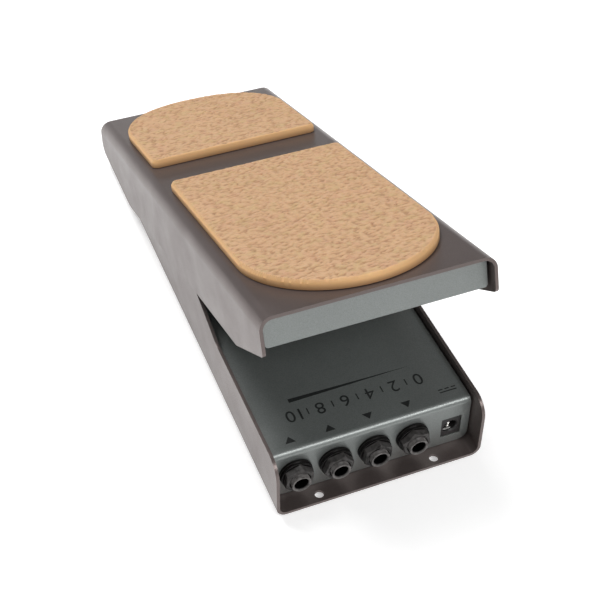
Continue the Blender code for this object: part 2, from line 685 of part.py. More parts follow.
def build_board(shop):
    """Circuit board under the sockets, with the magnetic sensor at its rear edge."""
    length = BOARD_REAR - BOARD_FRONT
    mesh = plate_mesh("circuit_board",
                      [rectangle(-BOARD_WIDTH / 2, BOARD_WIDTH / 2, -length / 2, length / 2, 0.002)],
                      BOARD_THICKNESS)
    shop.place("circuit_board", mesh, shop.base, "circuit_board",
               (0, BOARD_FRONT + length / 2, BOARD_UNDER + BOARD_THICKNESS / 2))
    chip = block_mesh("hall_sensor", SENSOR, 0.0003)
    shop.place("hall_sensor", chip, shop.base, "black_plastic",
               (0, BOARD_REAR - SENSOR.y, BOARD_TOP + GAP + SENSOR.z / 2))


# ---- hinge --------------------------------------------------------------------------
def build_hinge(shop):
    """Shaft fixed in the treadle's bracket, turning in bushes in the base walls."""
    flange_face = BASE_INNER - GAP - BUSH_FLANGE
    friction_face = flange_face - GAP - FRICTION_THICKNESS
    ear_face = friction_face - GAP
    for side, sign, axis in (("left", -1, "-X"), ("right", 1, "X")):
        bore = SHAFT_RADIUS + RUNNING_CLEARANCE
        profile = [(BUSH_RADIUS, BASE_WIDTH / 2), (BUSH_RADIUS, BASE_INNER - GAP),
                   (BUSH_FLANGE_RADIUS, BASE_INNER - GAP), (BUSH_FLANGE_RADIUS, flange_face),
                   (bore, flange_face), (bore, BASE_WIDTH / 2)]
        turned(shop, f"shaft_bush_{side}", profile, shop.base, "acetal",
               (0, PIVOT_Y, PIVOT_Z), axis, closed=True)
        turned(shop, f"friction_washer_{side}",
               ring_profile(FRICTION_RADIUS, bore, friction_face, friction_face + FRICTION_THICKNESS),
               shop.base, "bronze_disc", (0, PIVOT_Y, PIVOT_Z), axis, closed=True)
        collar_face = ear_face - HINGE_SHEET - GAP
        turned(shop, f"shaft_collar_{side}",
               ring_profile(COLLAR_RADIUS, SHAFT_RADIUS + GAP, collar_face - COLLAR_WIDTH, collar_face),
               shop.treadle, "plated_steel", (0, 0, 0), axis, closed=True)
    shaft = rod_mesh("pivot_shaft", SHAFT_RADIUS, 2 * (TREADLE_INNER - SHAFT_END_GAP))
    shop.place("pivot_shaft", shaft, shop.treadle, "plated_steel", turn=AXES["X"])
    build_hinge_bracket(shop, ear_face)


def build_hinge_bracket(shop, ear_face):
    """Folded bracket under the treadle top whose ears hold the shaft."""
    top = PLATE_UNDER - GAP

    def corner(x, y, z):
        return Vector((x * ear_face,
                       HINGE_REAR if y > 0 else -HINGE_FRONT,
                       top if z > 0 else -HINGE_EAR_RADIUS))

    mesh = folded_mesh("hinge_bracket", corner, [(2, -1), (1, -1), (1, 1)],
                       [((-1, None, 1), HINGE_BEND), ((1, None, 1), HINGE_BEND)])
    bracket = thicken(shop.place("hinge_bracket", mesh, shop.treadle, "plated_steel"), HINGE_SHEET)
    beyond = 0.01
    knee = top - HINGE_BEND - HINGE_SHEET
    outline = rounded_outline([
        (-HINGE_FRONT - beyond, -HINGE_EAR_RADIUS - beyond, 0),
        (HINGE_REAR + beyond, -HINGE_EAR_RADIUS - beyond, 0),
        (HINGE_REAR + beyond, knee, 0),
        (HINGE_REAR, knee, 0),
        (HINGE_EAR_RADIUS, 0, 0),
        (HINGE_EAR_RADIUS, -HINGE_EAR_RADIUS, HINGE_EAR_RADIUS * 0.8),
        (-HINGE_EAR_RADIUS, -HINGE_EAR_RADIUS, HINGE_EAR_RADIUS * 0.8),
        (-HINGE_EAR_RADIUS, 0, 0),
        (-HINGE_FRONT, knee, 0),
        (-HINGE_FRONT - beyond, knee, 0)], steps=5)
    trim = plate_mesh("cut_hinge_ears", [outline], BASE_WIDTH)
    combine(bracket, shop.place("cut_hinge_ears", trim, shop.treadle, None, turn=PLANES["YZ"]))
    bore = rod_mesh("cut_hinge_shaft", SHAFT_RADIUS + GAP, BASE_WIDTH)
    combine(bracket, shop.place("cut_hinge_shaft", bore, shop.treadle, None, turn=AXES["X"]))
    for side, x in (("left", -HINGE_SCREW_X), ("right", HINGE_SCREW_X)):
        for end, y in (("front", HINGE_SCREW_FRONT), ("rear", HINGE_SCREW_REAR)):
            drill(shop, bracket, f"cut_bracket_{side}_{end}", shop.treadle,
                  (x, y, top - HINGE_SHEET / 2), M4_RADIUS + GAP, HINGE_SHEET * 3, segments=SMALL)
            bracket_screw(shop, f"bracket_screw_{side}_{end}", x, y)
    build_magnet(shop, top - HINGE_SHEET - GAP)


def bracket_screw(shop, name, x, y):
    """Countersunk screw, flush with the treadle top under the toe pad."""
    tail = PLATE_UNDER - GAP - HINGE_SHEET - SCREW_TAIL
    profile = [(0, TOP_RISE), (M4_HEAD_RADIUS, TOP_RISE), (M4_RADIUS, PLATE_UNDER),
               (M4_RADIUS, tail), (0, tail)]
    turned(shop, name, profile, shop.treadle, "plated_steel", (x, y, 0), segments=SMALL)


def build_magnet(shop, top):
    """Arm that swings the magnet past the sensor at the rear of the box."""
    height = top + ARM_BELOW
    arm = block_mesh("magnet_arm", (ARM_WIDTH, ARM_THICKNESS, height), 0.0003)
    shop.place("magnet_arm", arm, shop.treadle, "aluminium",
               (0, -ARM_AHEAD + ARM_THICKNESS / 2, top - height / 2))
    disc = rod_mesh("magnet", MAGNET_RADIUS, MAGNET_THICKNESS)
    shop.place("magnet", disc, shop.treadle, "magnet_nickel",
               (0, -ARM_AHEAD - GAP - MAGNET_THICKNESS / 2, -ARM_BELOW + MAGNET_RADIUS * 1.5),
               AXES["-Y"])


# ---- treadle -------------------------------------------------------------------------
def rear_face(z):
    """Place of the treadle's rear face, which stands upright with the heel down."""
    return (OVERALL_LENGTH - PIVOT_Y - z * math.sin(TILT)) / math.cos(TILT)


def lower_edge():
    """Outline below the treadle walls, which the sheet is trimmed to."""
    beyond = 0.03
    floor_z = GROUND_GAP - PIVOT_Z
    heel_z = TOP_RISE - WALL_DEPTH_HEEL
    heel_y = (heel_z - floor_z * math.cos(TILT)) / math.sin(TILT)
    rear_y = OVERALL_LENGTH - PIVOT_Y
    toe = -TOE_REACH
    low = heel_z - beyond
    rear_high = to_treadle(rear_y, 0.0)
    return rounded_outline([
        (toe - beyond, low, 0),
        (toe - beyond, TOP_RISE - SHEET, 0),
        (toe, TOP_RISE - SHEET, 0),
        (toe, TOP_RISE - WALL_DEPTH_TOE, 0.0025),
        (toe + TOE_CHAMFER, TOP_RISE - WALL_DEPTH_MIDDLE, 0.008),
        (*to_treadle(heel_y, floor_z), 0.040),
        (*to_treadle(rear_y, floor_z), 0.006),
        (*rear_high, 0),
        (rear_high[0] + beyond, rear_high[1], 0),
        (rear_high[0] + beyond, low, 0)])


def build_treadle(shop):
    """Folded treadle channel with a rear flange and countersunk bracket holes."""
    low = TOP_RISE - WALL_DEPTH_HEEL - SHEET

    def corner(x, y, z):
        height = TOP_RISE if z > 0 else low
        return Vector((x * TREADLE_WIDTH / 2, rear_face(height) if y > 0 else -TOE_REACH, height))

    mesh = folded_mesh("treadle_channel", corner, [(2, -1), (1, -1)],
                       [((-1, None, 1), TREADLE_BEND), ((1, None, 1), TREADLE_BEND),
                        ((None, 1, 1), REAR_BEND), ((-1, 1, None), REAR_CORNER_BEND),
                        ((1, 1, None), REAR_CORNER_BEND)])
    treadle = thicken(shop.place("treadle_channel", mesh, shop.treadle, "bronze_coat"), SHEET)
    trim = plate_mesh("cut_treadle_walls", [lower_edge()], TREADLE_WIDTH * 1.5)
    combine(treadle, shop.place("cut_treadle_walls", trim, shop.treadle, None, turn=PLANES["YZ"]))
    for side, x in (("left", -HINGE_SCREW_X), ("right", HINGE_SCREW_X)):
        for end, y in (("front", HINGE_SCREW_FRONT), ("rear", HINGE_SCREW_REAR)):
            name = f"cut_countersink_{side}_{end}"
            margin = 0.001
            slope = (M4_HEAD_RADIUS - M4_RADIUS) / SHEET
            profile = [(0, TOP_RISE + margin),
                       (M4_HEAD_RADIUS + GAP + slope * margin, TOP_RISE + margin),
                       (M4_RADIUS + GAP, PLATE_UNDER),
                       (M4_RADIUS + GAP, PLATE_UNDER - margin), (0, PLATE_UNDER - margin)]
            cutter = turned(shop, name, profile, shop.treadle, None, (x, y, 0), segments=SMALL)
            combine(treadle, cutter)


def build_pan(shop):
    """Shallow pan under the toe end of the treadle, with its fixings and stops."""
    front = PAN_SETBACK - TOE_REACH
    rear = front + PAN_LENGTH

    def corner(x, y, z):
        return Vector((x * PAN_HALF_WIDTH, rear if y > 0 else front, PAN_TOP if z > 0 else PAN_BOTTOM))

    mesh = folded_mesh("treadle_pan", corner, [(2, 1)],
                       [((-1, None, -1), PAN_SIDE_BEND), ((1, None, -1), PAN_SIDE_BEND),
                        ((None, -1, -1), PAN_BEND), ((None, 1, -1), PAN_BEND)])
    pan = thicken(shop.place("treadle_pan", mesh, shop.treadle, "grey_green_coat"), PAN_SHEET)
    for side, x in (("left", -PAN_FIXING_X), ("right", PAN_FIXING_X)):
        for end, behind in (("front", PAN_FIXING_FRONT), ("rear", PAN_FIXING_REAR)):
            y = behind - TOE_REACH
            drill(shop, pan, f"cut_pan_{side}_{end}", shop.treadle,
                  (x, y, PAN_BOTTOM + PAN_SHEET / 2), M3_RADIUS + GAP, PAN_SHEET * 4, segments=SMALL)
            pan_standoff(shop, f"pan_standoff_{side}_{end}", x, y, PLATE_UNDER - GAP)
        pan_screw(shop, f"pan_screw_{side}", x, PAN_FIXING_FRONT - TOE_REACH)
        toe_stop(shop, side, x, PAN_FIXING_REAR - TOE_REACH)


def pan_standoff(shop, name, x, y, top):
    """Threaded standoff between the treadle top and the floor of the pan."""
    low = PAN_BOTTOM + PAN_SHEET + GAP
    bore = M3_RADIUS + GAP
    bore_top = low + (top - low) * 0.7
    profile = [(0, top), (STANDOFF_RADIUS, top), (STANDOFF_RADIUS, low), (bore, low),
               (bore, bore_top), (0, bore_top)]
    turned(shop, name, profile, shop.treadle, "aluminium", (x, y, 0), segments=SMALL)


def stud_top():
    """Height that a screw or stud reaches inside a pan standoff."""
    return PAN_BOTTOM + PAN_SHEET + GAP + SCREW_TAIL * 2


def pan_screw(shop, name, x, y):
    """Pan head screw from under the pan."""
    face = PAN_BOTTOM - GAP
    head = face - M3_HEAD_HEIGHT
    tail = stud_top()
    profile = [(0, tail), (M3_RADIUS, tail), (M3_RADIUS, face), (M3_HEAD_RADIUS, face),
               (M3_HEAD_RADIUS, face - M3_HEAD_HEIGHT / 2), (M3_HEAD_RADIUS * 0.7, head), (0, head)]
    turned(shop, name, profile, shop.treadle, "plated_steel", (x, y, 0), segments=SMALL)


def toe_stop(shop, side, x, y):
    """Post and rubber bumper that land on the box when the toe is fully down."""
    face = PAN_BOTTOM - GAP
    landing = BOX_TOP - PIVOT_Z + STOP_GAP
    joint = landing + BUMPER_HEIGHT
    tail = stud_top()
    post = [(0, tail), (M3_RADIUS, tail), (M3_RADIUS, face), (POST_RADIUS, face),
            (POST_RADIUS, joint + GAP), (0, joint + GAP)]
    turned(shop, f"toe_stop_post_{side}", post, shop.treadle, "aluminium", (x, y, 0),
           segments=SMALL)
    edge = BUMPER_HEIGHT / 5
    bumper = [(0, joint), (BUMPER_RADIUS, joint), (BUMPER_RADIUS, landing + edge),
              (BUMPER_RADIUS - edge, landing), (0, landing)]
    turned(shop, f"toe_stop_bumper_{side}", bumper, shop.treadle, "black_rubber", (x, y, 0),
           segments=SMALL)


# ---- pads ----------------------------------------------------------------------------
def half_round(start, end, power, steps):
    """Points of a rounded end from the right shoulder round to the left one."""
    points = []
    for step in range(steps + 1):
        angle = math.pi * step / steps
        across = math.cos(angle)
        along = math.sin(angle)
        points.append(Vector((PAD_HALF_WIDTH * math.copysign(abs(across) ** (2 / power), across),
                              start + (end - start) * abs(along) ** (2 / power))))
    return points


def build_pads(shop):
    """Crepe rubber pads stuck to the treadle top."""
    middle_z = TOP_RISE + GAP + PAD_THICKNESS / 2
    shoulder = TOE_PAD_NOSE + PAD_HALF_WIDTH
    nose = half_round(shoulder, TOE_PAD_NOSE, 2.0, ROUND)
    square_end = rectangle(-PAD_HALF_WIDTH, PAD_HALF_WIDTH, shoulder, TOE_PAD_REAR, PAD_CORNER)
    toe = [point for point in square_end if point.y > shoulder + PAD_CORNER * 2] + nose[::-1]
    rear = half_round(HEEL_PAD_SHOULDER, HEEL_PAD_REAR, HEEL_PAD_POWER, ROUND)
    square_front = rectangle(-PAD_HALF_WIDTH, PAD_HALF_WIDTH, HEEL_PAD_FRONT, HEEL_PAD_SHOULDER,
                             PAD_CORNER)
    heel = [point for point in square_front if point.y < HEEL_PAD_SHOULDER - PAD_CORNER * 2] + rear
    for name, outline in (("toe_pad", toe), ("heel_pad", heel)):
        mesh = plate_mesh(name, [outline], PAD_THICKNESS)
        shop.place(name, mesh, shop.treadle, "crepe_rubber", (0, -TOE_REACH, middle_z))


def main():
    """Build the whole pedal."""
    clear_scene()
    shop = Workshop()
    build_base(shop)
    build_feet(shop)
    build_heel_stop(shop)
    build_box(shop)
    build_jacks(shop)
    build_power_socket(shop)
    build_board(shop)
    build_hinge(shop)
    build_treadle(shop)
    build_pan(shop)
    build_pads(shop)
    bpy.context.view_layer.update()


main()
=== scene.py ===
"""Treadle volume pedal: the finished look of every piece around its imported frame.

Pieces are drawn in one of two local frames, the base's or the treadle's, and
then moved into the shared frame, so every finished object sits at the origin.
Units are metres and +Z is up.  The sockets face -Y and the heel is at +Y.
"""

import json
import logging
import math
from dataclasses import dataclass, field
from enum import Enum
from typing import Callable, Iterable, Optional, Sequence, Union

import bmesh
import bpy
from mathutils import Matrix, Vector, kdtree, noise

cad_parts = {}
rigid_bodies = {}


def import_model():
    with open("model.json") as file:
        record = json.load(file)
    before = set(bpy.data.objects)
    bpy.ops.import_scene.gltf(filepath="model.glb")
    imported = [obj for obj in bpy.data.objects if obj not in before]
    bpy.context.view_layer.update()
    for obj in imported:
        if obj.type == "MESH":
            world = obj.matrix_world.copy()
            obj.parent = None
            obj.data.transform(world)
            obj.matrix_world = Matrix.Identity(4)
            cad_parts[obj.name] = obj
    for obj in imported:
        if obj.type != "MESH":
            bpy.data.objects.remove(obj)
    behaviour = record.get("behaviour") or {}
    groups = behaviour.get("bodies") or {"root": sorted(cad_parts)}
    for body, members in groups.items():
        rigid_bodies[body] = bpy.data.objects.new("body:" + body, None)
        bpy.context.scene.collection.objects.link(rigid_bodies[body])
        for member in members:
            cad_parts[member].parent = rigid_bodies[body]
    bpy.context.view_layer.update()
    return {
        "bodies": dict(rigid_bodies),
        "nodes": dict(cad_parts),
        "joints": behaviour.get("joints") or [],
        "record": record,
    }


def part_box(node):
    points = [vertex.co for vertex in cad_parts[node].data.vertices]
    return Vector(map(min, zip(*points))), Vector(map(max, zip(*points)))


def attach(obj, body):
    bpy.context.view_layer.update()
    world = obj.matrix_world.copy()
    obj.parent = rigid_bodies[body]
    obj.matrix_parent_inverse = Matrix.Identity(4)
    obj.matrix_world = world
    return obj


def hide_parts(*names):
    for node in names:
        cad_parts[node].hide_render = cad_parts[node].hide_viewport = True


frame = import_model()

LOG = logging.getLogger("volume_pedal")
Mesh = bmesh.types.BMesh
Socket = bpy.types.NodeSocket
Colour = tuple[float, float, float]
Profile = list[tuple[float, float]]
Feed = Union[Socket, float, Sequence[float]]

GAP = 0.0003                # left between neighbouring pieces, as the frame leaves it
SHEET_EDGE = 0.00036        # rounding that powder coat leaves on a sheet's cut edge
SMOOTH_ANGLE = math.radians(32)
IN_YZ = Matrix(((0, 0, 1), (1, 0, 0), (0, 1, 0))).to_4x4()
ALONG_X = Matrix.Rotation(math.pi / 2, 4, "Y")
ALONG_MINUS_Y = Matrix.Rotation(math.pi / 2, 4, "X")


# ---- names -------------------------------------------------------------------
class Body(Enum):
    """The two bodies that pieces ride on."""

    BASE = "base"
    TREADLE = "treadle"


class Slot(Enum):
    """Names of the record's material slots, handed with each new piece; its finish comes from its Finish."""

    BRONZE = "bronze_coat"
    GREY_GREEN = "grey_green_coat"
    CREPE = "crepe_rubber"
    PLASTIC = "black_plastic"
    RUBBER = "black_rubber"
    STEEL = "plated_steel"
    ALUMINIUM = "aluminium"
    ACETAL = "acetal"
    BRONZE_DISC = "bronze_disc"


class Effect(Enum):
    """Surface effects that several finishes share."""

    DRIFT = "colour_drift"
    GRAIN = "coat_grain"
    WEAR = "edge_wear"
    SHEEN = "handled_sheen"
    BRUSH = "brushed_lines"


class Side(Enum):
    """Left and right, as seen from the socket end."""

    LEFT = -1
    RIGHT = 1

    @property
    def word(self) -> str:
        """Name of the side as it stands in a piece's name."""
        return self.name.lower()


# ---- shader nodes -------------------------------------------------------------
class Nodes:
    """Adds, sets and wires the nodes of one shader tree."""

    def __init__(self, tree: bpy.types.NodeTree) -> None:
        """Work on the given tree."""
        self.tree = tree

    def add(self, kind: str, **settings: object) -> bpy.types.Node:
        """Add a node.

        Args:
            kind: the node's type, without its ShaderNode prefix.
            settings: properties to set on it.

        Returns:
            The new node.
        """
        node = self.tree.nodes.new(f"ShaderNode{kind}")
        for key, value in settings.items():
            setattr(node, key, value)
        return node

    def feed(self, socket: Socket, value: Feed) -> None:
        """Wire a socket to another one, or set its value.

        Args:
            socket: the input to feed.
            value: an output socket, or a plain value.
        """
        if isinstance(value, bpy.types.NodeSocket):
            self.tree.links.new(value, socket)
        else:
            socket.default_value = value

    def math(self, operation: str, first: Feed, second: Feed = 0.0) -> Socket:
        """Combine two values.

        Args:
            operation: the Math node's operation.
            first: first value.
            second: second value.

        Returns:
            The result.
        """
        node = self.add("Math", operation=operation)
        self.feed(node.inputs[0], first)
        self.feed(node.inputs[1], second)
        return node.outputs[0]

    def mix(self, factor: Feed, first: Feed, second: Feed) -> Socket:
        """Mix two colours.

        Args:
            factor: share of the second colour.
            first: first colour.
            second: second colour.

        Returns:
            The mixed colour.
        """
        node = self.add("Mix", data_type="RGBA")
        self.feed(node.inputs[0], factor)
        self.feed(node.inputs[6], first)
        self.feed(node.inputs[7], second)
        return node.outputs[2]

    def noise(self, vector: Feed, scale: Feed, detail: float = 2.0, roughness: float = 0.5) -> Socket:
        """Add a noise texture.

        Args:
            vector: where it is read.
            scale: its frequency per metre.
            detail: octaves.
            roughness: share that each octave adds.

        Returns:
            The noise value, around 0.5.
        """
        node = self.add("TexNoise")
        self.feed(node.inputs["Vector"], vector)
        self.feed(node.inputs["Scale"], scale)
        node.inputs["Detail"].default_value = detail
        node.inputs["Roughness"].default_value = roughness
        return node.outputs[0]

    def span(self, value: Feed, source: tuple[float, float], low: Feed, high: Feed) -> Socket:
        """Map a value's range onto another, clamped.

        Args:
            value: value to map.
            source: its range.
            low: result at the range's start.
            high: result at the range's end.

        Returns:
            The mapped value.
        """
        node = self.add("MapRange", clamp=True)
        self.feed(node.inputs["Value"], value)
        node.inputs["From Min"].default_value = source[0]
        node.inputs["From Max"].default_value = source[1]
        self.feed(node.inputs["To Min"], low)
        self.feed(node.inputs["To Max"], high)
        return node.outputs[0]

    def attribute(self, name: str) -> Socket:
        """Read a number that is stored on the mesh."""
        return self.add("Attribute", attribute_name=name).outputs["Fac"]

    def here(self) -> Socket:
        """Read the place on the object."""
        return self.add("TexCoord").outputs["Object"]

    def bump(self, height: Feed, distance: float) -> Socket:
        """Turn a height into a normal.

        Args:
            height: the height, from 0 to 1.
            distance: depth of a full step, in metres.

        Returns:
            The normal.
        """
        node = self.add("Bump")
        node.inputs["Distance"].default_value = distance
        node.inputs["Strength"].default_value = 1.0
        self.feed(node.inputs["Height"], height)
        return node.outputs[0]


class EffectLibrary:
    """Builds each shared effect once, as a shader node group."""

    KINDS = {"f": "NodeSocketFloat", "v": "NodeSocketVector", "c": "NodeSocketColor"}

    def __init__(self) -> None:
        """Start with no group built."""
        self.groups: dict[Effect, bpy.types.NodeTree] = {}

    def place(self, nodes: Nodes, effect: Effect, **values: Feed) -> bpy.types.NodeOutputs:
        """Put an effect into a material's tree.

        Args:
            nodes: the material's tree.
            effect: which effect.
            values: what feeds its inputs.

        Returns:
            The outputs of the effect's node.
        """
        if effect not in self.groups:
            builders = {Effect.DRIFT: self.drift, Effect.GRAIN: self.grain, Effect.WEAR: self.wear,
                        Effect.SHEEN: self.sheen, Effect.BRUSH: self.brush}
            self.groups[effect] = builders[effect](effect.value)
        node = nodes.add("Group", node_tree=self.groups[effect])
        for key, value in values.items():
            nodes.feed(node.inputs[key], value)
        return node.outputs

    def group(self, name: str, inputs: str, outputs: str) -> tuple[Nodes, dict[str, Socket], bpy.types.Node]:
        """Open an empty group.

        Args:
            name: the group's name.
            inputs: its inputs, each as kind:name, with spaces between.
            outputs: its outputs, in the same form.

        Returns:
            Its tree, its inputs by name, and its output node.
        """
        tree = bpy.data.node_groups.new(name, "ShaderNodeTree")
        for words, way in ((inputs, "INPUT"), (outputs, "OUTPUT")):
            for word in words.split():
                kind, label = word.split(":")
                tree.interface.new_socket(label, in_out=way, socket_type=self.KINDS[kind])
        nodes = Nodes(tree)
        entry = tree.nodes.new("NodeGroupInput")
        leave = tree.nodes.new("NodeGroupOutput")
        return nodes, {socket.name: socket for socket in entry.outputs if socket.name}, leave

    def drift(self, name: str) -> bpy.types.NodeTree:
        """Lighter and darker patches, with fine flecks over them.

        Args:
            name: the group's name.

        Returns:
            The group's tree.
        """
        nodes, given, leave = self.group(
            name, "v:vector c:colour f:patch_scale f:patch f:fleck_scale f:fleck", "c:colour")
        shade: Feed = 1.0
        for scale, amount, detail in (("patch_scale", "patch", 3.0), ("fleck_scale", "fleck", 1.0)):
            swing = nodes.math("SUBTRACT", nodes.noise(given["vector"], given[scale], detail), 0.5)
            swing = nodes.math("MULTIPLY", swing, given[amount])
            shade = nodes.math("ADD", nodes.math("MULTIPLY", swing, 2.0), shade)
        scaled = nodes.add("VectorMath", operation="SCALE")
        nodes.feed(scaled.inputs[0], given["colour"])
        nodes.feed(scaled.inputs["Scale"], shade)
        nodes.feed(leave.inputs["colour"], scaled.outputs[0])
        return nodes.tree

    def grain(self, name: str) -> bpy.types.NodeTree:
        """Pebbled skin of a baked coat or a moulding.

        Args:
            name: the group's name.

        Returns:
            The group's tree.
        """
        nodes, given, leave = self.group(name, "v:vector f:scale", "f:height")
        coarse = nodes.noise(given["vector"], given["scale"], 1.0)
        fine = nodes.noise(given["vector"], nodes.math("MULTIPLY", given["scale"], 2.6), 2.0)
        height = nodes.math("ADD", nodes.math("MULTIPLY", coarse, 0.65), nodes.math("MULTIPLY", fine, 0.35))
        nodes.feed(leave.inputs["height"], height)
        return nodes.tree

    def wear(self, name: str) -> bpy.types.NodeTree:
        """Lighter colour along the cut edges: rubbed coat, with a painted highlight.

        Args:
            name: the group's name.

        Returns:
            The group's tree.
        """
        nodes, given, leave = self.group(
            name, "v:vector c:colour c:worn f:amount f:scale", "c:colour")
        broken = nodes.span(nodes.noise(given["vector"], given["scale"], 3.0, 0.6), (0.30, 0.62), 0.35, 1.0)
        edge = nodes.math("MULTIPLY", nodes.attribute("edge"), broken)
        mask = nodes.math("MULTIPLY", edge, given["amount"])
        nodes.feed(leave.inputs["colour"], nodes.mix(mask, given["colour"], given["worn"]))
        return nodes.tree

    def sheen(self, name: str) -> bpy.types.NodeTree:
        """Roughness that handling has evened out in places.

        Args:
            name: the group's name.

        Returns:
            The group's tree.
        """
        nodes, given, leave = self.group(name, "v:vector f:scale f:low f:high", "f:roughness")
        patch = nodes.noise(given["vector"], given["scale"], 4.0, 0.6)
        nodes.feed(leave.inputs["roughness"], nodes.span(patch, (0.32, 0.68), given["low"], given["high"]))
        return nodes.tree

    def brush(self, name: str) -> bpy.types.NodeTree:
        """Fine lines left by a tool, drawn out along one direction.

        Args:
            name: the group's name.

        Returns:
            The group's tree.
        """
        nodes, given, leave = self.group(name, "v:vector v:stretch f:scale", "f:height")
        drawn = nodes.add("VectorMath", operation="MULTIPLY")
        nodes.feed(drawn.inputs[0], given["vector"])
        nodes.feed(drawn.inputs[1], given["stretch"])
        nodes.feed(leave.inputs["height"], nodes.noise(drawn.outputs[0], given["scale"], 3.0, 0.6))
        return nodes.tree


# ---- finishes ------------------------------------------------------------------
@dataclass(frozen=True)
class Finish:
    """A finish, made into a material the first time that a piece needs it."""

    name: str
    colour: Colour
    smooth: float = 0.4
    rough: float = 0.6
    metallic: float = 0.0
    level: float = 0.5

    def material(self, effects: EffectLibrary) -> bpy.types.Material:
        """Build the material.

        Args:
            effects: the shared effects.

        Returns:
            The finished material.
        """
        material = bpy.data.materials.new(self.name)
        material.use_nodes = True
        nodes = Nodes(material.node_tree)
        shader = material.node_tree.nodes["Principled BSDF"]
        shader.inputs["Metallic"].default_value = self.metallic
        shader.inputs["Specular IOR Level"].default_value = self.level
        self.dress(nodes, shader, effects)
        return material

    def dress(self, nodes: Nodes, shader: bpy.types.Node, effects: EffectLibrary) -> None:
        """Wire the finish to the shader; each kind of finish has its own way."""
        raise NotImplementedError

    def polish(self, nodes: Nodes, shader: bpy.types.Node, effects: EffectLibrary,
               scale: float) -> None:
        """Let the roughness drift between the smoothest and the roughest.

        Args:
            nodes: the material's tree.
            shader: its shader.
            effects: the shared effects.
            scale: frequency of the drift per metre.
        """
        sheen = effects.place(nodes, Effect.SHEEN, vector=nodes.here(), scale=scale,
                              low=self.smooth, high=self.rough)
        nodes.feed(shader.inputs["Roughness"], sheen["roughness"])

    def pebble(self, nodes: Nodes, shader: bpy.types.Node, effects: EffectLibrary,
               scale: float, depth: float) -> None:
        """Give the surface a fine pebbled skin.

        Args:
            nodes: the material's tree.
            shader: its shader.
            effects: the shared effects.
            scale: frequency of the pebbles per metre.
            depth: their depth, in metres.
        """
        skin = effects.place(nodes, Effect.GRAIN, vector=nodes.here(), scale=scale)
        nodes.feed(shader.inputs["Normal"], nodes.bump(skin["height"], depth))

    @property
    def rgba(self) -> tuple[float, float, float, float]:
        """The base colour with full alpha."""
        return (*self.colour, 1.0)


@dataclass(frozen=True)
class PowderCoat(Finish):
    """Baked coat with a fine pebbled skin, lighter on its edges from wear and from a painted highlight."""

    worn: Colour = (0.42, 0.39, 0.37)
    wear: float = 0.75
    patch: float = 0.10
    fleck: float = 0.16
    fleck_scale: float = 2600.0
    grain_scale: float = 2200.0
    grain_depth: float = 0.00005

    def dress(self, nodes: Nodes, shader: bpy.types.Node, effects: EffectLibrary) -> None:
        """Wire drifting colour, edges lightened by wear and a painted highlight, uneven sheen and pebbled
        skin.

        Args:
            nodes: the material's tree.
            shader: its shader.
            effects: the shared effects.
        """
        here = nodes.here()
        tint = effects.place(nodes, Effect.DRIFT, vector=here, colour=self.rgba, patch_scale=24.0,
                             patch=self.patch, fleck_scale=self.fleck_scale, fleck=self.fleck)
        # Cut edges are lightened: partly wear of the coat, partly a painted highlight.
        worn = effects.place(nodes, Effect.WEAR, vector=here, colour=tint["colour"],
                             worn=(*self.worn, 1.0), amount=self.wear, scale=140.0)
        nodes.feed(shader.inputs["Base Color"], worn["colour"])
        self.polish(nodes, shader, effects, 38.0)
        self.pebble(nodes, shader, effects, self.grain_scale, self.grain_depth)


@dataclass(frozen=True)
class CrepeRubber(Finish):
    """Natural crepe: mottled tan skin, with painted shade in the creases and along the foot of the side, and
    a painted amber highlight on the rim.
    """

    rosy: Colour = (0.58, 0.345, 0.210)
    sallow: Colour = (0.56, 0.385, 0.200)
    # Brown for painted shade, laid in the creases and along the foot of the side.
    crease: Colour = (0.26, 0.130, 0.062)
    # Amber for the painted highlight along the rounded rim.
    amber: Colour = (0.80, 0.47, 0.205)
    grain_scale: float = 1500.0
    grain_depth: float = 0.00007

    def dress(self, nodes: Nodes, shader: bpy.types.Node, effects: EffectLibrary) -> None:
        """Wire the mottle, the painted shade in the creases and at the foot, the painted highlight on the
        rim, and a fine skin.

        Args:
            nodes: the material's tree.
            shader: its shader.
            effects: the shared effects.
        """
        here = nodes.here()
        colour: Feed = self.rgba
        for tone, scale in ((self.rosy, 150.0), (self.sallow, 190.0)):
            patch = nodes.span(nodes.noise(here, scale, 2.0), (0.50, 0.66), 0.0, 0.75)
            colour = nodes.mix(patch, colour, (*tone, 1.0))
        tint = effects.place(nodes, Effect.DRIFT, vector=here, colour=colour, patch_scale=34.0,
                             patch=0.05, fleck_scale=1300.0, fleck=0.10)
        # Painted shade in the creases.
        crease_shaded = nodes.mix(nodes.math("MULTIPLY", nodes.attribute("crease"), 0.62),
                            tint["colour"], (*self.crease, 1.0))
        # Painted highlight along the rounded rim.
        rim = nodes.mix(nodes.math("MULTIPLY", nodes.attribute("rim"), 0.8), crease_shaded,
                        (*self.amber, 1.0))
        # Painted shade along the foot of the side, in the crease brown.
        foot_shaded = nodes.mix(nodes.math("MULTIPLY", nodes.attribute("foot"), 0.75), rim,
                          (*self.crease, 1.0))
        nodes.feed(shader.inputs["Base Color"], foot_shaded)
        self.polish(nodes, shader, effects, 160.0)
        self.pebble(nodes, shader, effects, self.grain_scale, self.grain_depth)
        shader.inputs["Subsurface Weight"].default_value = 0.08
        shader.inputs["Subsurface Radius"].default_value = (0.0022, 0.0011, 0.0005)


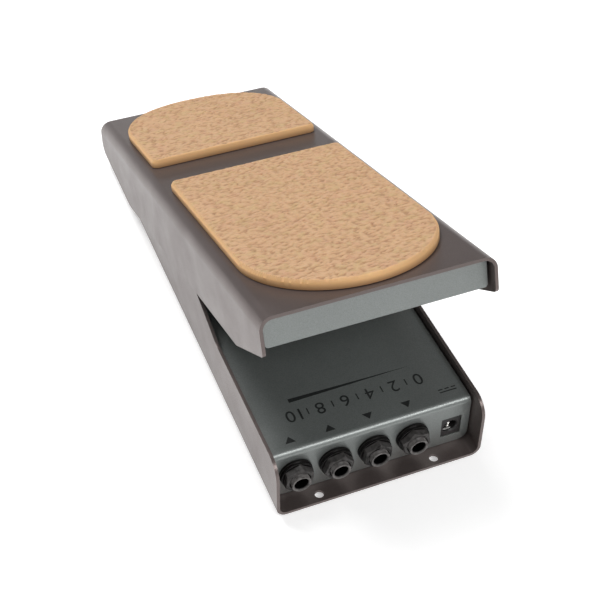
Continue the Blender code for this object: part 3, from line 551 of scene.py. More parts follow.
@dataclass(frozen=True)
class Moulding(Finish):
    """Moulded plastic or rubber with a fine skin, with scuffs and a painted highlight on its edges."""

    worn: Colour = (0.20, 0.19, 0.185)
    wear: float = 0.5
    grain_scale: float = 1800.0
    grain_depth: float = 0.00003
    patch: float = 0.22
    fleck: float = 0.25
    # Near-black colour for hollows: painted shade.
    unlit: Colour = (0.0015, 0.0015, 0.0015)

    def dress(self, nodes: Nodes, shader: bpy.types.Node, effects: EffectLibrary) -> None:
        """Wire the moulded skin, its scuffs and painted edge highlight, its uneven sheen and the painted
        shade in its hollows.

        Args:
            nodes: the material's tree.
            shader: its shader.
            effects: the shared effects.
        """
        here = nodes.here()
        tint = effects.place(nodes, Effect.DRIFT, vector=here, colour=self.rgba, patch_scale=220.0,
                             patch=self.patch, fleck_scale=2400.0, fleck=self.fleck)
        # Edges are lightened: scuffs, and a painted highlight.
        worn = effects.place(nodes, Effect.WEAR, vector=here, colour=tint["colour"],
                             worn=(*self.worn, 1.0), amount=self.wear, scale=420.0)
        # Painted shade: hollows are painted near black and lose their reflection.
        hollow = nodes.attribute("hollow")
        nodes.feed(shader.inputs["Base Color"],
                   nodes.mix(hollow, worn["colour"], (*self.unlit, 1.0)))
        level = nodes.math("MULTIPLY", nodes.math("SUBTRACT", 1.0, hollow), self.level)
        nodes.feed(shader.inputs["Specular IOR Level"], level)
        self.polish(nodes, shader, effects, 260.0)
        self.pebble(nodes, shader, effects, self.grain_scale, self.grain_depth)


@dataclass(frozen=True)
class BareMetal(Finish):
    """Plated or machined metal with tool lines and a cloudy passivation."""

    stretch: tuple[float, float, float] = (1.0, 1.0, 1.0)
    line_scale: float = 900.0
    line_depth: float = 0.00002
    cloud: Colour = (0.62, 0.58, 0.46)

    def dress(self, nodes: Nodes, shader: bpy.types.Node, effects: EffectLibrary) -> None:
        """Wire the plating's clouds and the tool's lines.

        Args:
            nodes: the material's tree.
            shader: its shader.
            effects: the shared effects.
        """
        here = nodes.here()
        tint = effects.place(nodes, Effect.DRIFT, vector=here, colour=self.rgba, patch_scale=120.0,
                             patch=0.12, fleck_scale=1900.0, fleck=0.06)
        clouds = nodes.span(nodes.noise(here, 75.0, 3.0), (0.48, 0.72), 0.0, 0.35)
        nodes.feed(shader.inputs["Base Color"], nodes.mix(clouds, tint["colour"], (*self.cloud, 1.0)))
        self.polish(nodes, shader, effects, 90.0)
        lines = effects.place(nodes, Effect.BRUSH, vector=here, stretch=self.stretch,
                              scale=self.line_scale)
        nodes.feed(shader.inputs["Normal"], nodes.bump(lines["height"], self.line_depth))


@dataclass(frozen=True)
class SolderMask(Finish):
    """Green mask over copper tracks on a circuit board."""

    copper: Colour = (0.05, 0.22, 0.09)
    pitch: float = 420.0

    def dress(self, nodes: Nodes, shader: bpy.types.Node, effects: EffectLibrary) -> None:
        """Wire the mask and the tracks that show through it.

        Args:
            nodes: the material's tree.
            shader: its shader.
            effects: the shared effects.
        """
        here = nodes.here()
        bricks = nodes.add("TexBrick")
        nodes.feed(bricks.inputs["Vector"], here)
        nodes.feed(bricks.inputs["Scale"], self.pitch)
        bricks.inputs["Mortar Size"].default_value = 0.06
        bricks.inputs["Color1"].default_value = self.rgba
        bricks.inputs["Color2"].default_value = tuple(value * 0.85 for value in self.rgba)
        bricks.inputs["Mortar"].default_value = (*self.copper, 1.0)
        tint = effects.place(nodes, Effect.DRIFT, vector=here, colour=bricks.outputs["Color"],
                             patch_scale=90.0, patch=0.12, fleck_scale=1500.0, fleck=0.08)
        nodes.feed(shader.inputs["Base Color"], tint["colour"])
        self.polish(nodes, shader, effects, 150.0)
        nodes.feed(shader.inputs["Normal"], nodes.bump(bricks.outputs["Fac"], 0.00003))


@dataclass(frozen=True)
class ScreenInk(Finish):
    """Screen printed ink, thin where the coat's grain stands through it."""

    thin: Colour = (0.035, 0.040, 0.038)

    def dress(self, nodes: Nodes, shader: bpy.types.Node, effects: EffectLibrary) -> None:
        """Wire the ink and the grain that breaks it.

        Args:
            nodes: the material's tree.
            shader: its shader.
            effects: the shared effects.
        """
        here = nodes.here()
        broken = nodes.span(nodes.noise(here, 2600.0, 2.0), (0.56, 0.72), 0.0, 0.8)
        tint = effects.place(nodes, Effect.DRIFT, vector=here, colour=self.rgba, patch_scale=200.0,
                             patch=0.15, fleck_scale=2400.0, fleck=0.15)
        nodes.feed(shader.inputs["Base Color"], nodes.mix(broken, tint["colour"], (*self.thin, 1.0)))
        self.polish(nodes, shader, effects, 300.0)
        self.pebble(nodes, shader, effects, 2200.0, 0.00003)


# The edge colours and amounts below lighten edges for wear and as a painted highlight.
BRONZE_COAT = PowderCoat("bronze_powder_coat", (0.140, 0.113, 0.107), smooth=0.30, rough=0.40,
                         metallic=0.56, worn=(0.34, 0.30, 0.28), wear=0.5)
BOX_COAT = PowderCoat("grey_green_powder_coat", (0.215, 0.230, 0.224), smooth=0.32, rough=0.44,
                      metallic=0.60, worn=(0.46, 0.48, 0.45), wear=0.45, fleck=0.26)
CREPE = CrepeRubber("tan_crepe_rubber", (0.60, 0.378, 0.218), smooth=0.62, rough=0.84, level=0.35)
BLACK_PLASTIC = Moulding("black_moulded_plastic", (0.0050, 0.0043, 0.0041), smooth=0.28, rough=0.42,
                         level=0.11, wear=0.35)
# Jack plastic takes the full edge colour; on the bush's mouth ring that is a painted highlight.
JACK_PLASTIC = Moulding("jack_plastic", (0.0050, 0.0043, 0.0041), smooth=0.28, rough=0.42, wear=1.0,
                        level=0.11, worn=(0.17, 0.16, 0.155))
SOCKET_PLASTIC = Moulding("socket_plastic", (0.014, 0.013, 0.013), smooth=0.34, rough=0.50, wear=0.2)
BLACK_RUBBER = Moulding("black_rubber", (0.026, 0.026, 0.027), smooth=0.68, rough=0.88, level=0.3,
                        wear=0.25, grain_depth=0.00006)
ACETAL = Moulding("white_acetal", (0.78, 0.77, 0.72), smooth=0.34, rough=0.5,
                  worn=(0.85, 0.84, 0.80))
ZINC_PLATE = BareMetal("zinc_plated_steel", (0.54, 0.54, 0.55), smooth=0.26, rough=0.42, metallic=1.0)
BRIGHT_PIN = BareMetal("bright_contact", (0.80, 0.79, 0.77), smooth=0.12, rough=0.2, metallic=1.0,
                       cloud=(0.80, 0.77, 0.70))
SHAFT_STEEL = BareMetal("ground_shaft_steel", (0.58, 0.58, 0.59), smooth=0.2, rough=0.32,
                        metallic=1.0, stretch=(0.1, 1.0, 1.0))
BRUSHED_ALUMINIUM = BareMetal("brushed_aluminium", (0.62, 0.63, 0.64), smooth=0.3, rough=0.46,
                              metallic=1.0, stretch=(1.0, 1.0, 0.06), cloud=(0.56, 0.57, 0.58))
BRONZE_WASHER = BareMetal("bronze_washer", (0.50, 0.31, 0.15), smooth=0.32, rough=0.5, metallic=1.0,
                          cloud=(0.36, 0.20, 0.10))
NICKEL = BareMetal("nickel_plated_magnet", (0.64, 0.62, 0.58), smooth=0.16, rough=0.3, metallic=1.0)
GREEN_BOARD = SolderMask("green_solder_mask", (0.018, 0.105, 0.048), smooth=0.3, rough=0.48)
BLACK_INK = ScreenInk("black_screen_ink", (0.010, 0.011, 0.011), smooth=0.4, rough=0.55)
STAGE_PAINT = Moulding("pale_floor_paint", (0.94, 0.94, 0.94), smooth=0.8, rough=0.9, wear=0.0,
                       worn=(0.9, 0.9, 0.9), grain_scale=90.0, patch=0.004, fleck=0.004)


# ---- mesh work -----------------------------------------------------------------
def bevel(bm: Mesh, edges: Sequence[bmesh.types.BMEdge], radius: float, steps: int) -> None:
    """Round edges with an arc.

    Args:
        bm: the mesh.
        edges: the edges to round.
        radius: how far the arc reaches along each face.
        steps: faces in the arc.
    """
    bmesh.ops.bevel(bm, geom=list(edges), offset=radius, segments=steps, profile=0.5,
                    affect="EDGES", material=-1)


def rounded_outline(corners: Sequence[tuple[float, float, float]], steps: int = 12) -> list[Vector]:
    """Replace each corner (a, b, radius) of a closed outline with an arc.

    Args:
        corners: the corners in order.
        steps: chords in each arc.

    Returns:
        The outline's points.
    """
    points: list[Vector] = []
    for index, (a, b, radius) in enumerate(corners):
        here = Vector((a, b))
        if radius <= 0:
            points.append(here)
            continue
        before = (Vector(corners[index - 1][:2]) - here).normalized()
        after = (Vector(corners[(index + 1) % len(corners)][:2]) - here).normalized()
        half = before.angle(after) / 2
        arm = before * radius / math.tan(half) - (before + after).normalized() * radius / math.sin(half)
        middle = here - arm + before * radius / math.tan(half)
        sweep = (math.pi - 2 * half) * (1 if before.cross(after) < 0 else -1)
        points += [middle + Matrix.Rotation(sweep * step / steps, 2) @ arm for step in range(steps + 1)]
    return points


def oblong(left: float, low: float, wide: float, tall: float) -> list[tuple[float, float]]:
    """Corners of a rectangle, counted from its lower left one."""
    return [(left, low), (left + wide, low), (left + wide, low + tall), (left, low + tall)]


def prism(outline: Sequence[Vector], low: float, high: float, placed: Matrix) -> Mesh:
    """Extrude an outline into a closed solid.

    Args:
        outline: points of its section.
        low: where it starts along its own Z.
        high: where it ends.
        placed: matrix that lays it in place.

    Returns:
        The solid.
    """
    bm = bmesh.new()
    face = bm.faces.new([bm.verts.new((point[0], point[1], low)) for point in outline])
    grown = bmesh.ops.extrude_face_region(bm, geom=[face])["geom"]
    tops = [item for item in grown if isinstance(item, bmesh.types.BMVert)]
    bmesh.ops.translate(bm, vec=(0.0, 0.0, high - low), verts=tops)
    bmesh.ops.transform(bm, matrix=placed, verts=bm.verts)
    bmesh.ops.recalc_face_normals(bm, faces=bm.faces)
    return bm


def block(low: Sequence[float], high: Sequence[float]) -> Mesh:
    """Make a box between two corners.

    Args:
        low: lowest corner.
        high: highest corner.

    Returns:
        The box.
    """
    bm = bmesh.new()
    bmesh.ops.create_cube(bm, size=1.0)
    low, high = Vector(low), Vector(high)
    bmesh.ops.scale(bm, vec=high - low, verts=bm.verts)
    bmesh.ops.translate(bm, vec=(low + high) / 2, verts=bm.verts)
    return bm


def rod(radius: float, low: float, high: float, placed: Matrix, segments: int = 48) -> Mesh:
    """Make a closed cylinder along its own Z.

    Args:
        radius: its radius.
        low: where it starts.
        high: where it ends.
        placed: matrix that lays it in place.
        segments: sides.

    Returns:
        The cylinder.
    """
    bm = bmesh.new()
    bmesh.ops.create_cone(bm, cap_ends=True, segments=segments, radius1=radius, radius2=radius,
                          depth=high - low)
    bmesh.ops.translate(bm, vec=(0.0, 0.0, (low + high) / 2), verts=bm.verts)
    bmesh.ops.transform(bm, matrix=placed, verts=bm.verts)
    return bm


def turned(profile: Profile, placed: Matrix, closed: bool = False, steps: int = 64) -> Mesh:
    """Spin a profile round its own Z axis.

    Args:
        profile: (radius, height) points.
        placed: matrix that lays it in place.
        closed: whether the last point joins the first, as on a ring.
        steps: sides.

    Returns:
        The turned solid.
    """
    bm = bmesh.new()
    spots = [bm.verts.new((radius, 0.0, height)) for radius, height in profile]
    pairs = list(zip(spots, spots[1:])) + ([(spots[-1], spots[0])] if closed else [])
    edges = [bm.edges.new(pair) for pair in pairs]
    bmesh.ops.spin(bm, geom=spots + edges, cent=(0, 0, 0), axis=(0, 0, 1), angle=2 * math.pi,
                   steps=steps, use_merge=True, use_duplicate=False)
    bmesh.ops.remove_doubles(bm, verts=bm.verts, dist=1e-7)
    bmesh.ops.transform(bm, matrix=placed, verts=bm.verts)
    bmesh.ops.recalc_face_normals(bm, faces=bm.faces)
    return bm


def folded(low: Vector, high: Vector, open_sides: Sequence[tuple[int, int]],
           bends: Sequence[tuple[tuple[Optional[int], Optional[int], Optional[int]], float]],
           lean: Callable[[Vector], Vector] = lambda spot: spot, steps: int = 9) -> Mesh:
    """Fold a thin open box.

    Args:
        low: lowest corner.
        high: highest corner.
        open_sides: (axis, sign) of each side left out.
        bends: (signs, radius) of each fold, with None along the fold.
        lean: moves a corner to its true place.
        steps: faces in each fold.

    Returns:
        The open surface, with its outer side out.
    """
    bm = block(low, high)
    middle = (low + high) / 2
    signs = {vert: [1 if vert.co[axis] > middle[axis] else -1 for axis in range(3)] for vert in bm.verts}
    gone = [face for face in bm.faces
            if any(all(signs[vert][axis] == sign for vert in face.verts) for axis, sign in open_sides)]
    folds = [([edge for edge in bm.edges
               if all(want is None or all(signs[vert][axis] == want for vert in edge.verts)
                      for axis, want in enumerate(wanted))], radius)
             for wanted, radius in bends]
    for vert in bm.verts:
        vert.co = lean(vert.co)
    bmesh.ops.delete(bm, geom=gone, context="FACES_ONLY")
    for found, radius in folds:
        bevel(bm, [edge for edge in found if edge.is_valid and len(edge.link_faces) == 2], radius, steps)
    bmesh.ops.remove_doubles(bm, verts=bm.verts, dist=1e-7)
    return bm


class Bench:
    """Carries a mesh through Blender's modifiers and gives the result back."""

    def __init__(self, bm: Mesh) -> None:
        """Put a mesh on the bench; the bench takes it over."""
        self.item = self.clamp(bm, "work")
        self.tools: list[bpy.types.Object] = []

    @staticmethod
    def clamp(bm: Mesh, name: str) -> bpy.types.Object:
        """Turn a bmesh into an object that is only there for the work.

        Args:
            bm: the mesh, which is used up.
            name: the object's name.

        Returns:
            The object.
        """
        mesh = bpy.data.meshes.new(name)
        bm.to_mesh(mesh)
        bm.free()
        item = bpy.data.objects.new(name, mesh)
        bpy.context.scene.collection.objects.link(item)
        return item

    def thicken(self, thickness: float) -> "Bench":
        """Give a folded sheet its thickness, inwards.

        Args:
            thickness: the sheet's thickness.

        Returns:
            The bench.
        """
        sheet = self.item.modifiers.new("sheet", "SOLIDIFY")
        sheet.thickness = thickness
        sheet.offset = -1.0
        sheet.use_even_offset = True
        sheet.use_quality_normals = True
        return self

    def combine(self, tool: Mesh, operation: str) -> "Bench":
        """Cut with, join or keep what is inside another solid.

        Args:
            tool: the other solid, which is used up.
            operation: UNION, DIFFERENCE or INTERSECT.

        Returns:
            The bench.
        """
        boolean = self.item.modifiers.new(operation.lower(), "BOOLEAN")
        boolean.operation = operation
        boolean.solver = "EXACT"
        boolean.object = self.clamp(tool, "tool")
        self.tools.append(boolean.object)
        return self

    def cut(self, *tools: Mesh) -> "Bench":
        """Cut solids out of the work, one after another.

        Args:
            tools: the solids, which are used up.

        Returns:
            The bench.
        """
        for tool in tools:
            self.combine(tool, "DIFFERENCE")
        return self

    def round_edges(self, width: float, steps: int = 2, angle: float = 32.0) -> "Bench":
        """Round the edges that are sharper than an angle in degrees.

        Args:
            width: how wide the rounding is.
            steps: faces across it.
            angle: the angle in degrees.

        Returns:
            The bench.
        """
        rounding = self.item.modifiers.new("edges", "BEVEL")
        rounding.width = width
        rounding.segments = steps
        rounding.limit_method = "ANGLE"
        rounding.angle_limit = math.radians(angle)
        rounding.miter_outer = "MITER_ARC"
        return self

    def take(self) -> Mesh:
        """Take the finished mesh off the bench, and clear the bench.

        Returns:
            The mesh with every modifier applied.
        """
        result = self.item.evaluated_get(bpy.context.evaluated_depsgraph_get())
        bm = bmesh.new()
        bm.from_mesh(result.to_mesh())
        result.to_mesh_clear()
        for item in [self.item, *self.tools]:
            mesh = item.data
            bpy.data.objects.remove(item, do_unlink=True)
            bpy.data.meshes.remove(mesh)
        return bm


def joined(parts: Iterable[Mesh]) -> Mesh:
    """Put several closed solids into one mesh.

    Args:
        parts: the solids, which are used up.

    Returns:
        One mesh with all of them.
    """
    whole = bmesh.new()
    for part in parts:
        scratch = bpy.data.meshes.new("part")
        part.to_mesh(scratch)
        part.free()
        whole.from_mesh(scratch)
        bpy.data.meshes.remove(scratch)
    return whole


def mark_edges(bm: Mesh) -> None:
    """Store on each point how far it is along a rounded edge, from 0 to 1.

    Args:
        bm: the mesh, which gains the layer.
    """
    layer = bm.verts.layers.float.new("edge")
    for vert in bm.verts:
        turn = max((edge.calc_face_angle(0.0) for edge in vert.link_edges), default=0.0)
        vert[layer] = min(1.0, max(0.0, (math.degrees(turn) - 26.0) / 14.0))


# ---- workshop ---------------------------------------------------------------------
class Workshop:
    """Holds the frames, the finishes and what every sub-assembly needs."""

    def __init__(self, loaded: dict) -> None:
        """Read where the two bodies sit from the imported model.
        """
        self.nodes: dict[str, bpy.types.Object] = loaded["nodes"]
        joint = loaded["joints"][0]
        low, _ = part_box("base_channel")
        self.tilt = math.radians(joint["range_deg"][1])
        self.base = Matrix.Translation((0.0, low.y, low.z))
        self.pivot = Vector(joint["pos_m"])
        self.treadle = Matrix.Translation(self.pivot) @ Matrix.Rotation(-self.tilt, 4, "X")
        self.effects = EffectLibrary()
        self.materials: dict[Finish, bpy.types.Material] = {}

    def extent(self, node: str, local: Matrix) -> tuple[Vector, Vector]:
        """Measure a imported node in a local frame.

        Args:
            node: the node's name.
            local: the local frame.

        Returns:
            Its lowest and highest corner there.
        """
        inverse = local.inverted()
        spots = [inverse @ vert.co for vert in self.nodes[node].data.vertices]
        return (Vector(min(spot[axis] for spot in spots) for axis in range(3)),
                Vector(max(spot[axis] for spot in spots) for axis in range(3)))

    def over(self, node: str, local: Matrix, height: float) -> Matrix:
        """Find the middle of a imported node, at a height in a local frame.

        Args:
            node: the node's name.
            local: the local frame.
            height: the height there.

        Returns:
            The matrix that moves to that place.
        """
        low, high = self.extent(node, local)
        return Matrix.Translation(((low.x + high.x) / 2, (low.y + high.y) / 2, height))

    def coat(self, finish: Finish) -> bpy.types.Material:
        """Get a finish's material, built on first use.

        Args:
            finish: the finish.

        Returns:
            Its material.
        """
        if finish not in self.materials:
            self.materials[finish] = finish.material(self.effects)
        return self.materials[finish]

    def add(self, bm: Mesh, name: str, body: Body, slot: Slot, finish: Finish, local: Matrix,
            replaces: Sequence[str] = ()) -> bpy.types.Object:
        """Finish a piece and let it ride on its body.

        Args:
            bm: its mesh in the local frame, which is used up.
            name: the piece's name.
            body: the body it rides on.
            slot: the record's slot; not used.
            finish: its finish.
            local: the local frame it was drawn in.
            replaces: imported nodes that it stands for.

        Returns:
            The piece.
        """
        bmesh.ops.transform(bm, matrix=local, verts=bm.verts)
        if "edge" not in bm.verts.layers.float:
            mark_edges(bm)
        mesh = bpy.data.meshes.new(name)
        bm.to_mesh(mesh)
        bm.free()
        mesh.shade_smooth()
        mesh.set_sharp_from_angle(angle=SMOOTH_ANGLE)
        mesh.materials.clear()
        mesh.materials.append(self.coat(finish))
        item = bpy.data.objects.new(name, mesh)
        bpy.context.scene.collection.objects.link(item)
        even = item.modifiers.new("even_shading", "WEIGHTED_NORMAL")
        even.keep_sharp = True
        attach(item, body.value)
        if replaces:
            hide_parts(*replaces)
        LOG.info("%s rides on %s, %d faces", name, body.value, len(mesh.polygons))
        return item

    def dress(self, finish: Finish, *names: str) -> None:
        """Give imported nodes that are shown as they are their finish.

        Args:
            finish: their finish.
            names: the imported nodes.
        """
        for name in names:
            for slot in self.nodes[name].material_slots:
                slot.material = self.coat(finish)
            LOG.info("%s keeps its packed shape", name)


# ---- base ---------------------------------------------------------------------------
@dataclass
class BaseChannel:
    """Folded sheet base whose walls rise to carry the shaft."""

    sheet: float = 0.0015
    bend: float = 0.005
    rear_bend: float = 0.0025
    wall_top: float = 0.033
    wall_corner: float = 0.009
    flank_start: float = 0.0785
    flank_fillet: float = 0.012
    bracket_rear: float = 0.160
    lip_hole: tuple[float, float, float] = (0.0283, 0.0040, 0.0021)
    bush_radius: float = 0.0040
    screw_radius: float = 0.0014
    beyond: float = 0.02

    def wall_trim(self, length: float, top: float, slope: float) -> list[Vector]:
        """Outline of what is cut away above the walls.

        Args:
            length: the base's length.
            top: height of the walls at the hinge.
            slope: fall of the walls behind the hinge, for each metre.

        Returns:
            The outline's points.
        """
        beyond = self.beyond
        rear_height = top - (length - self.bracket_rear) * slope
        return rounded_outline([
            (-beyond, top + beyond, 0), (-beyond, -beyond, 0), (0.0, -beyond, 0),
            (0.0, self.wall_top, self.wall_corner),
            (self.flank_start, self.wall_top, self.flank_fillet),
            (self.flank_start + (top - self.wall_top) / slope, top, self.flank_fillet),
            (self.bracket_rear, top, self.flank_fillet),
            (length + beyond, rear_height - beyond * slope, 0),
            (length + beyond, top + beyond, 0)])

    def holes(self, shop: Workshop, half_width: float) -> list[Mesh]:
        """Drills for the lip, the box screws and the shaft bushes.

        Args:
            shop: the workshop.
            half_width: half the base's width.

        Returns:
            The drills.
        """
        x, y, radius = self.lip_hole
        through = (-self.sheet, 2 * self.sheet)
        drills = []
        pivot = shop.base.inverted() @ shop.pivot
        for side in Side:
            spot = Matrix.Translation((side.value * x, y, 0.0))
            drills.append(rod(radius, *through, spot))
            for end in ("front", "rear"):
                spot = shop.over(f"box_screw_{side.word}_{end}", shop.base, 0.0)
                drills.append(rod(self.screw_radius + GAP, *through, spot, 24))
            at_wall = Matrix.Translation((side.value * (half_width - self.sheet / 2), pivot.y, pivot.z))
            drills.append(rod(self.bush_radius + GAP, *through, at_wall @ ALONG_X))
        return drills

    def build(self, shop: Workshop) -> None:
        """Fold, trim and drill the base, and add it.

        Args:
            shop: the workshop.
        """
        low, high = shop.extent("base_channel", shop.base)
        mesh = folded(low, high + Vector((0, 0, self.sheet)), [(2, 1), (1, -1)],
                      [((-1, None, -1), self.bend), ((1, None, -1), self.bend),
                       ((None, 1, -1), self.rear_bend)])
        trim = prism(self.wall_trim(high.y, high.z, math.tan(shop.tilt)), -high.x * 1.5, high.x * 1.5, IN_YZ)
        bench = Bench(mesh).thicken(self.sheet).cut(trim, *self.holes(shop, high.x))
        shop.add(bench.round_edges(SHEET_EDGE).take(), "base_shell", Body.BASE, Slot.BRONZE,
                 BRONZE_COAT, shop.base, ["base_channel"])


@dataclass
class Feet:
    """Four round rubber feet with a dished sole."""

    edge: float = 0.0007
    dish: float = 0.0005
    dish_radius: float = 0.0042

    def build(self, shop: Workshop) -> None:
        """Turn the four feet.

        Args:
            shop: the workshop.
        """
        for end in ("front", "rear"):
            for side in Side:
                name = f"foot_{side.word}_{end}"
                low, high = shop.extent(name, shop.base)
                radius = (high.x - low.x) / 2
                centre = shop.over(name, shop.base, 0.0)
                profile = [(0, high.z), (radius, high.z), (radius - self.edge / 2, low.z),
                           (self.dish_radius, low.z), (self.dish_radius - self.dish, low.z + self.dish),
                           (0, low.z + self.dish)]
                bench = Bench(turned(profile, centre)).round_edges(self.edge / 2, 3)
                shop.add(bench.take(), f"rubber_{name}", Body.BASE, Slot.RUBBER, BLACK_RUBBER,
                         shop.base, [name])


@dataclass
class PanHeadScrew:
    """Small machine screw with a cross recess in a domed head."""

    shank: float = 0.0014
    recess: float = 0.0009
    recess_arm: float = 0.0034
    recess_width: float = 0.0007
    edge: float = 0.00008
    rim_share: float = 0.35

    def head(self, radius: float, height: float) -> Profile:
        """Profile of the head, from its rim down to its crown.

        Args:
            radius: the head's radius.
            height: the head's height.

        Returns:
            The points, as (radius, height).
        """
        arcs = 6
        return [(radius * math.cos(math.pi / 2 * step / arcs) ** 0.6,
                 -height * self.rim_share
                 - height * (1 - self.rim_share) * math.sin(math.pi / 2 * step / arcs))
                for step in range(arcs + 1)]

    def build(self, shop: Workshop, node: str, body: Body, local: Matrix, seat: float) -> None:
        """Make one screw whose head hangs below its seat.

        Args:
            shop: the workshop.
            node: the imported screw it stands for.
            body: the body it rides on.
            local: frame whose Z runs up the screw.
            seat: height of the head's flat side.
        """
        low, high = shop.extent(node, local)
        radius, height = (high.x - low.x) / 2, seat - low.z
        spot = shop.over(node, local, seat)
        crown = self.head(radius, height)
        profile = [(0, high.z - seat), (self.shank * 0.8, high.z - seat),
                   (self.shank, high.z - seat - self.shank * 0.3), (self.shank, 0), (radius, 0)]
        solid = turned(profile + crown[:-1] + [(0, crown[-1][1])], spot, steps=40)
        arm, wide, deep = self.recess_arm / 2, self.recess_width / 2, self.recess - height
        crosses = []
        for across, along in ((arm, wide), (wide, arm)):
            tool = block((-across, -along, -height * 1.5), (across, along, deep))
            bmesh.ops.transform(tool, matrix=spot, verts=tool.verts)
            crosses.append(tool)
        bench = Bench(solid).cut(*crosses).round_edges(self.edge, 2, 40)
        shop.add(bench.take(), f"cross_head_{node}", body, Slot.STEEL, ZINC_PLATE, local, [node])


# ---- electronics ------------------------------------------------------------------------
@dataclass
class ElectronicsBox:
    """Folded box with its socket holes, open underneath between two flanges."""

    sheet: float = 0.0012
    front_bend: float = 0.003
    side_bend: float = 0.0012
    lower_bend: float = 0.005
    flange: float = 0.0085
    bush_radius: float = 0.0045
    screw_radius: float = 0.0014
    edge: float = SHEET_EDGE * 0.8

    def build(self, shop: Workshop) -> None:
        """Fold the box, cut its panel and add it with its screws.

        Args:
            shop: the workshop.
        """
        low, high = shop.extent("electronics_box", shop.base)
        mesh = folded(low, high, [], [
            ((-1, None, -1), self.lower_bend), ((1, None, -1), self.lower_bend),
            ((None, -1, 1), self.front_bend), ((-1, None, 1), self.side_bend),
            ((1, None, 1), self.side_bend)])
        floor = max((face for face in mesh.faces if face.normal.z < -0.99), key=lambda f: f.calc_area())
        bmesh.ops.inset_region(mesh, faces=[floor], thickness=self.flange, use_even_offset=True)
        bmesh.ops.delete(mesh, geom=[floor], context="FACES")
        through = (-self.sheet * 2, self.sheet * 2)
        tools = []
        for number in range(1, 5):
            near, far = shop.extent(f"jack_washer_{number}", shop.base)
            middle = (near + far) / 2
            spot = Matrix.Translation((middle.x, low.y + self.sheet / 2, middle.z)) @ ALONG_MINUS_Y
            tools.append(rod(self.bush_radius + GAP, *through, spot))
        near, far = shop.extent("dc_socket", shop.base)
        tools.append(block((near.x - GAP, low.y - self.sheet, near.z - GAP),
                           (far.x + GAP, low.y + 2 * self.sheet, far.z + GAP)))
        names = [f"box_screw_{side.word}_{end}" for side in Side for end in ("front", "rear")]
        for name in names:
            spot = shop.over(name, shop.base, low.z + self.sheet / 2)
            tools.append(rod(self.screw_radius + GAP, *through, spot, 24))
        bench = Bench(mesh).thicken(self.sheet).cut(*tools).round_edges(self.edge)
        shop.add(bench.take(), "box_shell", Body.BASE, Slot.GREY_GREEN, BOX_COAT, shop.base,
                 ["electronics_box"])
        for name in names:
            PanHeadScrew().build(shop, name, Body.BASE, shop.base, -GAP)


@dataclass
class PrintedMarks:
    """Generic print on the box: a numbered scale, a level wedge and arrows.

    The print reads from the heel end, so its own up runs towards the sockets.
    """

    film: float = 0.00004
    lift: float = 0.00001
    numeral_height: float = 0.0094
    scale_half_span: float = 0.030
    scale_y: float = 0.0292
    wedge_y: float = 0.0378
    wedge_thick: float = 0.0022
    arrow_y: float = 0.0168
    arrow_size: tuple[float, float] = (0.0048, 0.0036)
    tick_size: tuple[float, float] = (0.0006, 0.0036)
    supply_mark: tuple[float, float] = (0.0398, 0.0172)
    supply_bar: float = 0.0042
    supply_line: float = 0.0006
    supply_gap: float = 0.0016

    def along_scale(self, number: int) -> float:
        """Place of a number across the box, with 5 in the middle."""
        return self.scale_half_span * (1 - number / 5)

    def numerals(self) -> list[Mesh]:
        """Every second number from 0 to 10 in a row, each made a mesh.

        Returns:
            The numbers, one mesh each.
        """
        meshes = []
        for number in range(0, 11, 2):
            curve = bpy.data.curves.new("numeral", "FONT")
            curve.body = str(number)
            curve.align_x = "CENTER"
            curve.align_y = "CENTER"
            curve.size = self.numeral_height
            curve.extrude = self.film / 2
            holder = bpy.data.objects.new("numeral", curve)
            bpy.context.scene.collection.objects.link(holder)
            mesh = bpy.data.meshes.new_from_object(
                holder.evaluated_get(bpy.context.evaluated_depsgraph_get()))
            bpy.data.objects.remove(holder, do_unlink=True)
            bpy.data.curves.remove(curve)
            bm = bmesh.new()
            bm.from_mesh(mesh)
            bpy.data.meshes.remove(mesh)
            bmesh.ops.remove_doubles(bm, verts=bm.verts, dist=1e-6)
            place = Matrix.Translation((self.along_scale(number), self.scale_y, 0.0))
            place = place @ Matrix.Rotation(math.pi, 4, "Z")
            bmesh.ops.transform(bm, matrix=place, verts=bm.verts)
            meshes.append(bm)
        return meshes

    def shapes(self, shop: Workshop) -> list[Mesh]:
        """The wedge, the arrows, the ticks between the numbers and the supply mark.

        Args:
            shop: the workshop.

        Returns:
            The marks, one mesh each.
        """
        half = self.film / 2
        span = self.scale_half_span
        outlines = [[(span, self.wedge_y), (-span, self.wedge_y + self.wedge_thick / 2),
                     (-span, self.wedge_y - self.wedge_thick / 2)]]
        wide, long = self.arrow_size
        for number in range(1, 5):
            low, high = shop.extent(f"jack_washer_{number}", shop.base)
            middle = (low.x + high.x) / 2
            way = 1 if number <= 2 else -1
            outlines.append([(middle - wide / 2, self.arrow_y - way * long / 2),
                             (middle + wide / 2, self.arrow_y - way * long / 2),
                             (middle, self.arrow_y + way * long / 2)])
        tick, tall = self.tick_size
        outlines += [oblong(self.along_scale(number) - tick / 2, self.scale_y - tall / 2, tick, tall)
                     for number in range(1, 10, 2)]
        x, y = self.supply_mark
        bar, thin = self.supply_bar, self.supply_line
        outlines.append(oblong(x - bar, y, bar * 2, thin))
        dash = bar * 0.5
        outlines += [oblong(x + step * bar * 0.75 - dash / 2, y + self.supply_gap, dash, thin)
                     for step in (-1, 0, 1)]
        return [prism([Vector(point) for point in outline], -half, half, Matrix.Identity(4))
                for outline in outlines]

    def build(self, shop: Workshop) -> None:
        """Lay the print on the box's top face.

        Args:
            shop: the workshop.
        """
        top = shop.extent("electronics_box", shop.base)[1].z
        film = joined(self.numerals() + self.shapes(shop))
        bmesh.ops.translate(film, vec=(0.0, 0.0, top + self.film / 2 + self.lift), verts=film.verts)
        bmesh.ops.recalc_face_normals(film, faces=film.faces)
        shop.add(film, "box_print", Body.BASE, Slot.PLASTIC, BLACK_INK, shop.base)


